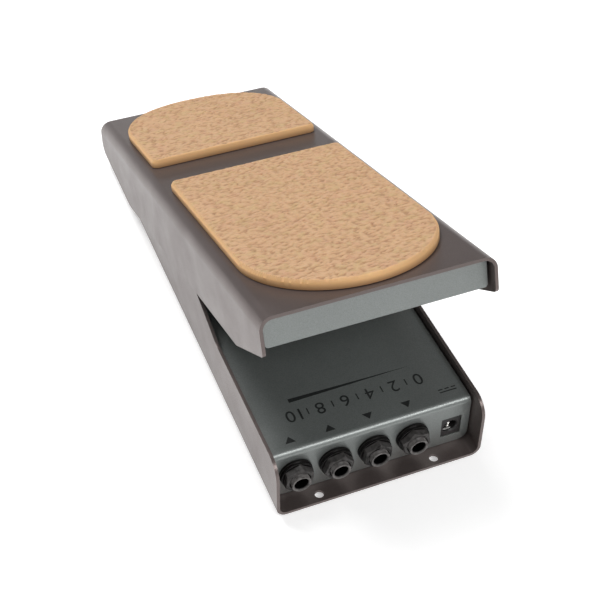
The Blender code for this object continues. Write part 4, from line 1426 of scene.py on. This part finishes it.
@dataclass
class JackSocket:
    """Quarter inch jack: body and threaded bush, flat washer, flanged nut."""

    number: int
    turn: float
    bore: float = 0.003175
    mouth: float = 0.0037
    bush: float = 0.0045
    thread_pitch: float = 0.00075
    thread_depth: float = 0.0003
    bore_depth: float = 0.026
    mouth_depth: float = 0.0008
    mouth_flare: float = 0.0006
    mouth_slope: float = 0.0005
    case_edge: float = 0.0005
    washer_edge: float = 0.00012
    nut_edge: float = 0.00016
    flat_share: float = 0.95
    cone_share: float = 1.05
    clear: float = 0.001
    lip: float = 0.00035
    thread_start: float = 0.0004
    # How far back from the mouth the painted highlight reaches, and over what width it fades.
    worn_reach: float = 0.0007
    worn_fade: float = 0.0003
    washer_step: float = 0.0004
    flange: float = 0.0009
    chamfer: float = math.radians(34)

    def bush_profile(self, tip: float, root: float) -> Profile:
        """Profile of the threaded bush from its rounded mouth to its root.

        Args:
            tip: height of the mouth's face.
            root: height of the panel end, below the tip.

        Returns:
            The profile of a ring, as (radius, height) points.
        """
        lip = self.lip
        points = [(self.bore, root), (self.bore, tip - self.mouth_depth),
                  (self.mouth - lip * 0.3, tip - lip * 0.6)]
        points += [(self.mouth + lip * (1 - math.cos(angle)), tip - lip * (1 - math.sin(angle)))
                   for angle in (0.35, 0.9, math.pi / 2)]
        points += [(self.bush - lip * (1 - math.cos(angle)), tip - lip * (1 - math.sin(angle)))
                   for angle in (math.pi / 2, 0.9, 0.35, 0.0)]
        height = tip - lip - self.thread_start
        while height - self.thread_pitch > root:
            points += [(self.bush, height), (self.bush - self.thread_depth, height - self.thread_pitch / 2)]
            height -= self.thread_pitch
        return points + [(self.bush, height), (self.bush, root)]

    def build(self, shop: Workshop) -> None:
        """Make the three pieces of one jack.

        Args:
            shop: the workshop.
        """
        low, high = shop.extent(f"jack_body_{self.number}", shop.base)
        panel = shop.extent("electronics_box", shop.base)[0].y
        near, far = shop.extent(f"jack_washer_{self.number}", shop.base)
        centre = (near + far) / 2
        axis = Matrix.Translation((centre.x, panel, centre.z)) @ ALONG_MINUS_Y
        self.build_body(shop, low, high, panel, axis)
        self.build_washer(shop, panel - far.y, panel - near.y, far.x - centre.x, axis)
        self.build_nut(shop, panel, axis)

    def build_body(self, shop: Workshop, low: Vector, high: Vector, panel: float, axis: Matrix) -> None:
        """The moulded body behind the panel and its threaded bush.

        Args:
            shop: the workshop.
            low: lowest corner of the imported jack.
            high: its highest corner.
            panel: place of the panel's face along Y.
            axis: matrix whose Z runs out along the bush, from the panel's face.
        """
        behind = panel + ElectronicsBox.sheet + GAP
        case = block((low.x, behind, low.z), high)
        bench = Bench(case).round_edges(self.case_edge, 2)
        bench.cut(rod(self.bore, -self.bore_depth, 0.02, axis))
        tip = panel - low.y
        ring = turned(self.bush_profile(tip, -ElectronicsBox.sheet - GAP), axis, closed=True)
        jack = joined([bench.take(), ring])
        mark_edges(jack)
        edge = jack.verts.layers.float["edge"]
        hollow = jack.verts.layers.float.new("hollow")
        outward = axis.inverted()
        for vert in jack.verts:
            ahead = panel - vert.co.y
            # The ring round the bush's mouth gets the full edge colour, a painted highlight.
            if ahead > tip - self.worn_reach:
                vert[edge] = min(1.0, (ahead - tip + self.worn_reach) / self.worn_fade)
            # Points inside the bore are marked hollow, which paints shade there.
            away = outward @ vert.co
            vert[hollow] = 1.0 if away.to_2d().length < self.bore + 0.0001 else 0.0
        shop.add(jack, f"jack_{self.number}", Body.BASE, Slot.PLASTIC, JACK_PLASTIC, shop.base,
                 [f"jack_body_{self.number}"])

    def build_washer(self, shop: Workshop, back: float, front: float, radius: float,
                     axis: Matrix) -> None:
        """Flat washer with a stepped rim.

        Args:
            shop: the workshop.
            back: height of its back above the panel's face.
            front: height of its front.
            radius: its radius.
            axis: matrix whose Z runs out along the bush.
        """
        bore = self.bush + GAP
        step = self.washer_step
        profile = [(bore, back), (radius, back), (radius, front - step * 1.3),
                   (radius - step * 0.6, front - step * 1.3), (radius - step * 0.6, front - step),
                   (radius - step * 0.2, front - step), (radius - step, front), (bore, front)]
        shop.add(Bench(turned(profile, axis, closed=True)).round_edges(self.washer_edge, 2).take(),
                 f"washer_{self.number}", Body.BASE, Slot.PLASTIC, BLACK_PLASTIC, shop.base,
                 [f"jack_washer_{self.number}"])

    def build_nut(self, shop: Workshop, panel: float, axis: Matrix) -> None:
        """Hexagon nut on a round flange, its corners turned off in a cone.

        Args:
            shop: the workshop.
            panel: place of the panel's face along Y.
            axis: matrix whose Z runs out along the bush.
        """
        node = f"jack_nut_{self.number}"
        near, far = shop.extent(node, shop.base)
        back, front = panel - far.y, panel - near.y
        corner = (far.x - near.x) / 2 - GAP
        flats = corner * math.cos(math.pi / 6)
        turn = Matrix.Rotation(-math.radians(self.turn), 4, "Z")
        solid = rod(corner, back + self.flange * 0.4, front, axis @ turn, 6)
        reach, wide = flats * self.flat_share, corner * self.cone_share
        drop = (wide - reach) * math.tan(self.chamfer)
        cone = turned([(0, front), (reach, front), (wide, front - drop),
                       (wide, back - self.clear), (0, back - self.clear)], axis, steps=72)
        inner = self.bush + GAP
        flange = turned([(inner, back), (corner + GAP, back), (corner + GAP, back + self.flange),
                         (inner, back + self.flange)], axis, closed=True, steps=72)
        mouth, above, below = self.bush + self.mouth_flare, front + self.clear, back - self.clear
        bore = turned([(0, above), (mouth + self.clear, above), (mouth, front),
                       (inner, front - self.mouth_slope), (inner, below), (0, below)], axis,
                      steps=96)
        hexagon = Bench(solid).cut(bore).combine(cone, "INTERSECT")
        hexagon = hexagon.round_edges(self.nut_edge, 2).take()
        foot = Bench(flange).round_edges(self.nut_edge, 2).take()
        shop.add(joined([hexagon, foot]), f"nut_{self.number}", Body.BASE, Slot.PLASTIC,
                 BLACK_PLASTIC, shop.base, [node])


@dataclass
class PowerSocket:
    """Rectangular power socket with a round well, a pin and a side contact."""

    well: float = 0.0030
    well_depth: float = 0.0095
    notch_above: float = 0.0006
    notch_below: float = 0.0023
    notch_inset: float = 0.0009
    funnel: float = 0.0006
    edge: float = 0.00018
    leaf_thickness: float = 0.00022
    leaf_lap: float = 0.0004
    leaf_bow: tuple[tuple[float, float], ...] = (
        (0.0006, -0.0021), (0.0009, -0.0016), (0.0016, -0.0014), (0.0026, -0.0012),
        (0.0034, -0.0014))

    def build(self, shop: Workshop) -> None:
        """Make the housing, the pin and the contact leaf.

        Args:
            shop: the workshop.
        """
        low, high = shop.extent("dc_socket", shop.base)
        centre = (low + high) / 2
        axis = Matrix.Translation((centre.x, low.y, centre.z)) @ ALONG_MINUS_Y
        above, funnel = 0.002, self.funnel
        well = turned([(0, above), (self.well + funnel + above, above), (self.well + funnel, 0.0),
                       (self.well, -funnel), (self.well, -self.well_depth), (0, -self.well_depth)],
                      axis)
        notch = block((low.x + self.notch_inset, low.y - above, centre.z - self.notch_below),
                      (centre.x, low.y + self.well_depth * 0.8, centre.z + self.notch_above))
        bench = Bench(block(low, high)).cut(well, notch).round_edges(self.edge, 2)
        shop.add(bench.take(), "power_housing", Body.BASE, Slot.PLASTIC, SOCKET_PLASTIC, shop.base,
                 ["dc_socket"])
        near, far = shop.extent("dc_pin", shop.base)
        radius, tip, root = (far.x - near.x) / 2, low.y - near.y, low.y - far.y
        dome = [(radius * math.cos(angle), tip - radius * 0.7 * (1 - math.sin(angle)))
                for angle in (0.0, 0.4, 0.8, 1.2)]
        pin = turned([(0, root), (radius, root), *dome, (0, tip)], axis, steps=32)
        shop.add(pin, "power_pin", Body.BASE, Slot.STEEL, BRIGHT_PIN, shop.base, ["dc_pin"])
        self.build_leaf(shop, low, centre)

    def build_leaf(self, shop: Workshop, low: Vector, centre: Vector) -> None:
        """Bowed strip across the left half of the well, under the pin.

        Args:
            shop: the workshop.
            low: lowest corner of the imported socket.
            centre: its middle.
        """
        bm = bmesh.new()
        left, right = centre.x - self.well - self.leaf_lap, centre.x + self.leaf_lap
        verts = [bm.verts.new((left, low.y + deep, centre.z + height)) for deep, height in self.leaf_bow]
        edges = [bm.edges.new(pair) for pair in zip(verts, verts[1:])]
        grown = bmesh.ops.extrude_edge_only(bm, edges=edges)["geom"]
        ends = [item for item in grown if isinstance(item, bmesh.types.BMVert)]
        bmesh.ops.translate(bm, vec=(right - left, 0.0, 0.0), verts=ends)
        bmesh.ops.subdivide_edges(bm, edges=bm.edges[:], cuts=1, use_grid_fill=True, smooth=0.4)
        leaf = Bench(bm).thicken(self.leaf_thickness).take()
        bmesh.ops.recalc_face_normals(leaf, faces=leaf.faces)
        shop.add(leaf, "power_contact", Body.BASE, Slot.STEEL, BRIGHT_PIN, shop.base)


# ---- treadle ------------------------------------------------------------------------------
@dataclass
class TreadleChannel:
    """Folded sheet treadle with chamfered toe walls and a flat-cut heel."""

    sheet: float = 0.0015
    bend: float = 0.006
    rear_bend: float = 0.004
    rear_corner: float = 0.0025
    depth_toe: float = 0.0171
    depth_middle: float = 0.0304
    depth_heel: float = 0.0350
    chamfer: float = 0.0395
    toe_radius: float = 0.0025
    chamfer_radius: float = 0.008
    heel_radius: float = 0.040
    rear_radius: float = 0.006
    beyond: float = 0.03

    def build(self, shop: Workshop) -> None:
        """Fold and trim the treadle and add it.

        Args:
            shop: the workshop.
        """
        low, high = shop.extent("treadle_channel", shop.treadle)
        lowest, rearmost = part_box("treadle_channel")[0].z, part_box("treadle_channel")[1].y
        inverse = shop.treadle.inverted()
        slope = math.tan(shop.tilt)

        def rear(z: float) -> float:
            """Place of the upright rear face at a height in the treadle's frame."""
            return (rearmost - shop.pivot.y - z * math.sin(shop.tilt)) / math.cos(shop.tilt)

        toe, top = low.y, high.z
        heel_z = top - self.depth_heel
        floor = inverse @ Vector((0.0, rearmost, lowest))
        heel_y = floor.y + (heel_z - floor.z) / slope
        deep = heel_z - self.beyond
        bottom = heel_z - self.sheet

        def lean(spot: Vector) -> Vector:
            """Tip the rear corners to the upright rear face."""
            return Vector((spot.x, rear(spot.z) if spot.y > 0 else toe, spot.z))

        mesh = folded(Vector((low.x, toe, bottom)), Vector((high.x, rear(top), top)),
                      [(2, -1), (1, -1)],
                      [((-1, None, 1), self.bend), ((1, None, 1), self.bend),
                       ((None, 1, 1), self.rear_bend), ((-1, 1, None), self.rear_corner),
                       ((1, 1, None), self.rear_corner)], lean)
        high_rear = inverse @ Vector((0.0, rearmost, shop.pivot.z))
        outline = rounded_outline([
            (toe - self.beyond, deep, 0), (toe - self.beyond, top - self.sheet, 0),
            (toe, top - self.sheet, 0),
            (toe, top - self.depth_toe, self.toe_radius),
            (toe + self.chamfer, top - self.depth_middle, self.chamfer_radius),
            (heel_y, heel_z, self.heel_radius),
            (floor.y, floor.z, self.rear_radius),
            (high_rear.y, high_rear.z, 0), (high_rear.y + self.beyond, high_rear.z, 0),
            (high_rear.y + self.beyond, deep, 0)])
        trim = prism(outline, low.x * 1.5, high.x * 1.5, IN_YZ)
        bench = Bench(mesh).thicken(self.sheet).cut(trim).round_edges(SHEET_EDGE)
        shop.add(bench.take(), "treadle_shell", Body.TREADLE, Slot.BRONZE, BRONZE_COAT,
                 shop.treadle, ["treadle_channel"])


@dataclass
class TreadlePan:
    """Shallow folded pan under the toe end, with its screws and stops."""

    sheet: float = 0.0012
    bend: float = 0.002
    side_bend: float = 0.0015
    screw_radius: float = 0.0014
    edge: float = SHEET_EDGE * 0.8
    post_edge: float = 0.0002
    bumper_edge: float = 0.0003
    groove: float = 0.0003
    groove_places: tuple[float, ...] = (0.0012, 0.0015, 0.0021, 0.0024)

    def build(self, shop: Workshop) -> None:
        """Fold the pan, then make what hangs from it.

        Args:
            shop: the workshop.
        """
        low, high = shop.extent("treadle_pan", shop.treadle)
        mesh = folded(low, high, [(2, 1)], [
            ((-1, None, -1), self.side_bend), ((1, None, -1), self.side_bend),
            ((None, -1, -1), self.bend), ((None, 1, -1), self.bend)])
        through = (-self.sheet * 2, self.sheet * 2)
        drills = []
        for side in Side:
            for node in (f"pan_screw_{side.word}", f"toe_stop_post_{side.word}"):
                spot = shop.over(node, shop.treadle, low.z + self.sheet / 2)
                drills.append(rod(self.screw_radius + GAP, *through, spot, 24))
        bench = Bench(mesh).thicken(self.sheet).cut(*drills).round_edges(self.edge)
        shop.add(bench.take(), "pan_shell", Body.TREADLE, Slot.GREY_GREEN, BOX_COAT, shop.treadle,
                 ["treadle_pan"])
        for side in Side:
            PanHeadScrew().build(shop, f"pan_screw_{side.word}", Body.TREADLE, shop.treadle,
                                 low.z - GAP)
            self.build_stop(shop, side, low.z - GAP)

    def build_stop(self, shop: Workshop, side: Side, seat: float) -> None:
        """Turned post and its moulded bumper.

        Args:
            shop: the workshop.
            side: the side it hangs on.
            seat: height of the pan's underside.
        """
        node = f"toe_stop_post_{side.word}"
        low, high = shop.extent(node, shop.treadle)
        spot = shop.over(node, shop.treadle, 0.0)
        radius, groove = (high.x - low.x) / 2, self.groove
        widths = (radius, radius - groove, radius - groove, radius)
        ring = [(wide, seat - down) for wide, down in zip(widths, self.groove_places)]
        post = turned([(0, high.z), (self.screw_radius, high.z), (self.screw_radius, seat),
                       (radius, seat), *ring, (radius, low.z), (0, low.z)], spot)
        shop.add(Bench(post).round_edges(self.post_edge).take(), f"post_{side.word}", Body.TREADLE,
                 Slot.ALUMINIUM, BRUSHED_ALUMINIUM, shop.treadle, [node])
        node = f"toe_stop_bumper_{side.word}"
        low, high = shop.extent(node, shop.treadle)
        radius, height = (high.x - low.x) / 2, high.z - low.z
        dome = [(radius * math.cos(angle), low.z + height * 0.45 * (1 - math.sin(angle)))
                for angle in (0.0, 0.3, 0.6, 0.9, 1.2)]
        bumper = turned([(0, high.z), (radius, high.z), *dome, (0, low.z)], spot)
        shop.add(Bench(bumper).round_edges(self.bumper_edge, 2, 40).take(), f"bumper_{side.word}",
                 Body.TREADLE, Slot.RUBBER, BLACK_RUBBER, shop.treadle, [node])


# ---- pads -------------------------------------------------------------------------------------
@dataclass(frozen=True)
class PadEnd:
    """One end of a pad: how far it curves, how much width it takes, how square it is."""

    reach: float
    inset: float
    power: float = 2.0

    def half_width(self, full: float, share: float) -> float:
        """Half width where a share of the reach is used up.

        Args:
            full: the pad's half width before the end.
            share: from 0 at the shoulder to 1 at the tip.

        Returns:
            The half width there.
        """
        return full - self.inset + self.inset * (1 - share ** self.power) ** (1 / self.power)


@dataclass
class CrepePad:
    """Crepe rubber pad, wrinkled on top, with a smooth rounded rim."""

    node: str
    front_end: PadEnd
    rear_end: PadEnd
    across_step: float = 0.00056
    along_step: float = 0.00028
    rim: float = 0.0017
    foot: float = 0.0004
    crease_depth: float = 0.00055
    crease_width: float = 0.24
    swell: float = 0.00016
    seed: float = 0.0
    warp_seed: int = 7
    size: tuple[float, float, float] = field(default=(0.0, 0.0, 0.0), init=False)

    def half_width(self, y: float) -> float:
        """Half width of the pad at a distance behind the treadle's front.

        Args:
            y: the distance behind the treadle's front.

        Returns:
            The half width there.
        """
        full, front, rear = self.size
        ahead = (front + self.front_end.reach - y) / self.front_end.reach
        behind = (y - rear + self.rear_end.reach) / self.rear_end.reach
        if ahead > 0:
            return self.front_end.half_width(full, min(ahead, 1.0))
        if behind > 0:
            return self.rear_end.half_width(full, min(behind, 1.0))
        return full

    def outline_tree(self, spacing: float = 0.00008) -> kdtree.KDTree:
        """Points set close together along the pad's outline, ready to search.

        Args:
            spacing: distance between the points.

        Returns:
            The tree of points.
        """
        full, front, rear = self.size
        points: list[tuple[float, float]] = []
        for end, tip, way in ((self.front_end, front, 1), (self.rear_end, rear, -1)):
            count = math.ceil(math.pi / 2 * max(end.reach, end.inset) / spacing)
            for step in range(count + 1):
                angle = math.pi / 2 * step / count
                x = full - end.inset + end.inset * math.cos(angle) ** (2 / end.power)
                y = tip + way * end.reach * (1 - math.sin(angle) ** (2 / end.power))
                points.append((x, y))
            flat = full - end.inset
            points += [(flat * step / 600, tip) for step in range(600)] if flat > 0 else []
        start, stop = front + self.front_end.reach, rear - self.rear_end.reach
        count = math.ceil((stop - start) / spacing)
        points += [(full, start + (stop - start) * step / count) for step in range(count + 1)]
        tree = kdtree.KDTree(2 * len(points))
        for index, (x, y) in enumerate(points):
            tree.insert((x, y, 0.0), 2 * index)
            tree.insert((-x, y, 0.0), 2 * index + 1)
        tree.balance()
        return tree

    def crease(self, x: float, y: float) -> tuple[float, float]:
        """Relief of the crepe at a point.

        Args:
            x: place across, in millimetres.
            y: place along, in millimetres.

        Returns:
            How deep in a crease it is, from 0 to 1, and the swell between them, from -1 to 1.
        """
        warp = noise.noise_vector(Vector((x * 0.21, y * 0.21, 3.1 + self.seed)))
        u, v = (x + 1.3 * warp.x) / 2.9, (y + 1.0 * warp.y) / 1.30
        level = noise.noise(Vector((u, v, self.seed)))
        line = math.exp(-(level / self.crease_width) ** 2)
        kept = noise.noise(Vector((x * 0.36, y * 0.55, 9.0 + self.seed)))
        line *= min(1.0, max(0.12, 0.55 + 1.9 * kept))
        swell = noise.noise(Vector((x / 1.5, y / 0.95, 21.0 + self.seed)))
        return line, swell

    def grow_top(self, thickness: float) -> Mesh:
        """Grid over the pad, trimmed to its outline, with its rim and creases.

        Args:
            thickness: the pad's thickness.

        Returns:
            The open top surface.
        """
        full, front, rear = self.size
        noise.seed_set(self.warp_seed)      # noise_vector starts from the clock without it
        tree = self.outline_tree()
        bm = bmesh.new()
        bmesh.ops.create_grid(bm, x_segments=round(2 * full / self.across_step),
                              y_segments=round((rear - front) / self.along_step), size=1.0)
        bmesh.ops.scale(bm, vec=(full, (rear - front) / 2, 1.0), verts=bm.verts)
        bmesh.ops.translate(bm, vec=(0.0, (front + rear) / 2, 0.0), verts=bm.verts)
        margin = self.along_step * 0.45
        outside = [vert for vert in bm.verts
                   if abs(vert.co.x) >= self.half_width(vert.co.y) or tree.find(vert.co)[2] < margin]
        bmesh.ops.delete(bm, geom=outside, context="VERTS")
        for vert in bm.verts:
            if vert.is_boundary:
                vert.co = tree.find(vert.co)[0]
        bmesh.ops.remove_doubles(bm, verts=bm.verts, dist=0.00004)
        # rim marks where the painted highlight goes along the rounded rim.
        rim_layer = bm.verts.layers.float.new("rim")
        # crease marks where the painted shade goes in the creases.
        crease_layer = bm.verts.layers.float.new("crease")
        for vert in bm.verts:
            inward = tree.find(vert.co)[2]
            drop = self.rim - math.sqrt(max(0.0, self.rim ** 2 - max(0.0, self.rim - inward) ** 2))
            fade = min(1.0, max(0.0, (inward - self.rim * 0.25) / (self.rim * 0.8)))
            line, swell = self.crease(vert.co.x * 1000, vert.co.y * 1000)
            vert.co.z = thickness - drop - fade * (
                line * self.crease_depth + (1 - swell) / 2 * self.swell)
            vert[rim_layer] = 1 - min(1.0, max(0.0, (inward - self.rim * 0.2) / (self.rim * 0.7)))
            vert[crease_layer] = line * fade
        return bm

    def build(self, shop: Workshop) -> None:
        """Grow the pad's top, drop its wall, close its sole and add it.

        Args:
            shop: the workshop.
        """
        low, high = shop.extent(self.node, shop.treadle)
        self.size = (high.x, low.y, high.y)
        bm = self.grow_top(high.z - low.z)
        for level in (self.foot, 0.0):
            rim = [edge for edge in bm.edges if edge.is_boundary]
            grown = bmesh.ops.extrude_edge_only(bm, edges=rim)["geom"]
            for vert in (item for item in grown if isinstance(item, bmesh.types.BMVert)):
                vert.co.z = level
        bmesh.ops.edgeloop_fill(bm, edges=[edge for edge in bm.edges if edge.is_boundary])
        bmesh.ops.recalc_face_normals(bm, faces=bm.faces)
        # foot marks the bottom band of the side, which gets painted shade.
        foot_layer = bm.verts.layers.float.new("foot")
        for vert in bm.verts:
            vert[foot_layer] = 1.0 if vert.co.z <= self.foot else 0.0
        local = shop.treadle @ Matrix.Translation((0.0, 0.0, low.z))
        shop.add(bm, f"crepe_{self.node}", Body.TREADLE, Slot.CREPE, CREPE, local, [self.node])


# ---- hinge --------------------------------------------------------------------------------------
@dataclass
class HingeHardware:
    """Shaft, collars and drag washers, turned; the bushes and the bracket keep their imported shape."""

    shaft_edge: float = 0.0004
    collar_screw: float = 0.0012
    ring_edge: float = 0.0002

    def build(self, shop: Workshop) -> None:
        """Turn the shaft, the collars and the drag washers, and dress the rest.

        Args:
            shop: the workshop.
        """
        low, high = shop.extent("pivot_shaft", shop.treadle)
        radius = (high.z - low.z) / 2
        shaft = rod(radius, low.x, high.x, ALONG_X, 64)
        shop.add(Bench(shaft).round_edges(self.shaft_edge, 2).take(), "shaft", Body.TREADLE,
                 Slot.STEEL, SHAFT_STEEL, shop.treadle, ["pivot_shaft"])
        for side in Side:
            turn = Matrix.Rotation(side.value * math.pi / 2, 4, "Y")
            self.build_ring(shop, f"shaft_collar_{side.word}", "collar", Body.TREADLE, Slot.STEEL,
                            ZINC_PLATE, shop.treadle, turn, radius + GAP)
            self.build_ring(shop, f"friction_washer_{side.word}", "drag_washer", Body.BASE,
                            Slot.BRONZE_DISC, BRONZE_WASHER, shop.base, turn, radius + GAP / 2)
            shop.dress(ACETAL, f"shaft_bush_{side.word}")
            for end in ("front", "rear"):
                shop.dress(ZINC_PLATE, f"bracket_screw_{side.word}_{end}")
                shop.dress(BRUSHED_ALUMINIUM, f"pan_standoff_{side.word}_{end}")
        shop.dress(ZINC_PLATE, "hinge_bracket")
        shop.dress(BRUSHED_ALUMINIUM, "magnet_arm")
        shop.dress(NICKEL, "magnet")
        shop.dress(GREEN_BOARD, "circuit_board")
        shop.dress(SOCKET_PLASTIC, "hall_sensor")
        shop.dress(BLACK_RUBBER, "heel_stop_strip")

    def build_ring(self, shop: Workshop, node: str, word: str, body: Body, slot: Slot,
                   finish: Finish, local: Matrix, turn: Matrix, bore: float) -> None:
        """Turn a ring that sits on the shaft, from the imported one's size.

        Args:
            shop: the workshop.
            node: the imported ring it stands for.
            word: first word of the piece's name.
            body: the body it rides on.
            slot: the record's slot.
            finish: its finish.
            local: the local frame.
            turn: rotation that lays it on the shaft.
            bore: its bore's radius.
        """
        low, high = shop.extent(node, local)
        radius = (high.z - low.z) / 2
        centre = (low + high) / 2
        half = (high.x - low.x) / 2
        ring = turned([(bore, -half), (radius, -half), (radius, half), (bore, half)],
                      Matrix.Translation(centre) @ turn, closed=True)
        bench = Bench(ring)
        if word == "collar":
            up = Matrix.Translation(centre)
            bench.cut(rod(self.collar_screw, bore, radius * 2, up, 24))
        shop.add(bench.round_edges(self.ring_edge).take(), f"{word}_{node.rsplit('_', 1)[1]}", body, slot,
                 finish, local, [node])


# ---- stage -------------------------------------------------------------------------------------
@dataclass
class Studio:
    """Pale floor, soft lights and the camera."""

    azimuth: float = math.radians(21.871)
    elevation: float = math.radians(44.002)
    roll: float = math.radians(0.395)
    aim: Vector = field(default_factory=lambda: Vector((-0.0082, -0.0603, 0.0500)))
    distance: float = 0.5925
    lens: float = 76.55
    floor_half: float = 3.0
    floor_glow: float = 0.40
    world: Colour = (1.0, 1.0, 1.0)
    world_strength: float = 0.16
    light_height: float = 0.05

    def build_camera(self) -> None:
        """Set the camera by its azimuth, elevation and roll about the aim point."""
        data = bpy.data.cameras.new("camera")
        data.lens = self.lens
        data.sensor_width = 36.0
        data.clip_start, data.clip_end = 0.01, 20.0
        camera = bpy.data.objects.new("camera", data)
        bpy.context.scene.collection.objects.link(camera)
        flat = math.cos(self.elevation)
        gaze = Vector((math.sin(self.azimuth) * flat, math.cos(self.azimuth) * flat,
                       -math.sin(self.elevation)))
        right = Vector((math.cos(self.azimuth), -math.sin(self.azimuth), 0.0))
        up = right.cross(gaze)
        across = right * math.cos(self.roll) + up * math.sin(self.roll)
        upward = up * math.cos(self.roll) - right * math.sin(self.roll)
        turn = Matrix((across, upward, -gaze)).transposed()
        camera.matrix_world = Matrix.Translation(self.aim - gaze * self.distance) @ turn.to_4x4()
        bpy.context.scene.camera = camera

    def build_floor(self, shop: Workshop) -> None:
        """Lay a large pale floor, which glows a little, under the feet.

        Args:
            shop: the workshop.
        """
        bm = bmesh.new()
        bmesh.ops.create_grid(bm, x_segments=4, y_segments=4, size=self.floor_half)
        mesh = bpy.data.meshes.new("floor")
        bm.to_mesh(mesh)
        bm.free()
        paint = shop.coat(STAGE_PAINT)
        shader = paint.node_tree.nodes["Principled BSDF"]
        shader.inputs["Emission Color"].default_value = (1.0, 1.0, 1.0, 1.0)
        shader.inputs["Emission Strength"].default_value = self.floor_glow
        mesh.materials.append(paint)
        floor = bpy.data.objects.new("floor", mesh)
        bpy.context.scene.collection.objects.link(floor)

    def light(self, name: str, spot: Vector, target: Vector, size: tuple[float, float], power: float,
              colour: Colour = (1.0, 1.0, 1.0)) -> None:
        """Hang one soft light.

        Args:
            name: its name.
            spot: where it hangs.
            target: what it points at.
            size: its width and height.
            power: its power in watts.
            colour: its colour.
        """
        data = bpy.data.lights.new(name, "AREA")
        data.shape = "RECTANGLE"
        data.size, data.size_y = size
        data.energy = power
        data.color = colour
        lamp = bpy.data.objects.new(name, data)
        lamp.location = spot
        lamp.rotation_mode = "QUATERNION"
        lamp.rotation_quaternion = (target - spot).to_track_quat("-Z", "Y")
        bpy.context.scene.collection.objects.link(lamp)

    def build(self, shop: Workshop) -> None:
        """Set up the camera, the floor and the lights.

        Args:
            shop: the workshop.
        """
        self.build_camera()
        self.build_floor(shop)
        scene = bpy.context.scene
        scene.view_settings.view_transform = "Standard"
        scene.world = bpy.data.worlds.new("studio")
        scene.world.use_nodes = True
        backdrop = scene.world.node_tree.nodes["Background"]
        backdrop.inputs["Color"].default_value = (*self.world, 1.0)
        backdrop.inputs["Strength"].default_value = self.world_strength
        middle = Vector((0.0, 0.0, self.light_height))
        self.light("back_softbox", Vector((-0.30, 0.70, 1.35)), middle, (0.9, 0.7), 19.0)
        self.light("left_softbox", Vector((-1.25, -0.45, 0.45)), middle, (0.9, 0.6), 1.0)
        self.light("front_fill", Vector((-0.15, -1.35, 0.30)), middle, (1.1, 0.5), 1.2)
        self.light("front_strip", Vector((0.29, -0.85, 0.83)), middle, (0.6, 0.34), 6.5)


def main() -> None:
    """Build every sub-assembly in order, then the studio."""
    logging.basicConfig(level=logging.INFO, format="%(name)s: %(message)s")
    shop = Workshop(frame)
    BaseChannel().build(shop)
    Feet().build(shop)
    ElectronicsBox().build(shop)
    PrintedMarks().build(shop)
    for number, turn in enumerate((8.0, 20.0, 6.0, 48.0), start=1):
        JackSocket(number, turn).build(shop)
    PowerSocket().build(shop)
    TreadleChannel().build(shop)
    TreadlePan().build(shop)
    HingeHardware().build(shop)
    half = shop.extent("toe_pad", shop.treadle)[1].x
    corner = PadEnd(0.0035, 0.0035)
    CrepePad("toe_pad", PadEnd(half, half), corner).build(shop)
    CrepePad("heel_pad", corner, PadEnd(0.0412, half, 2.25), seed=5.3).build(shop)
    Studio().build(shop)


if __name__ == "__main__":
    main()
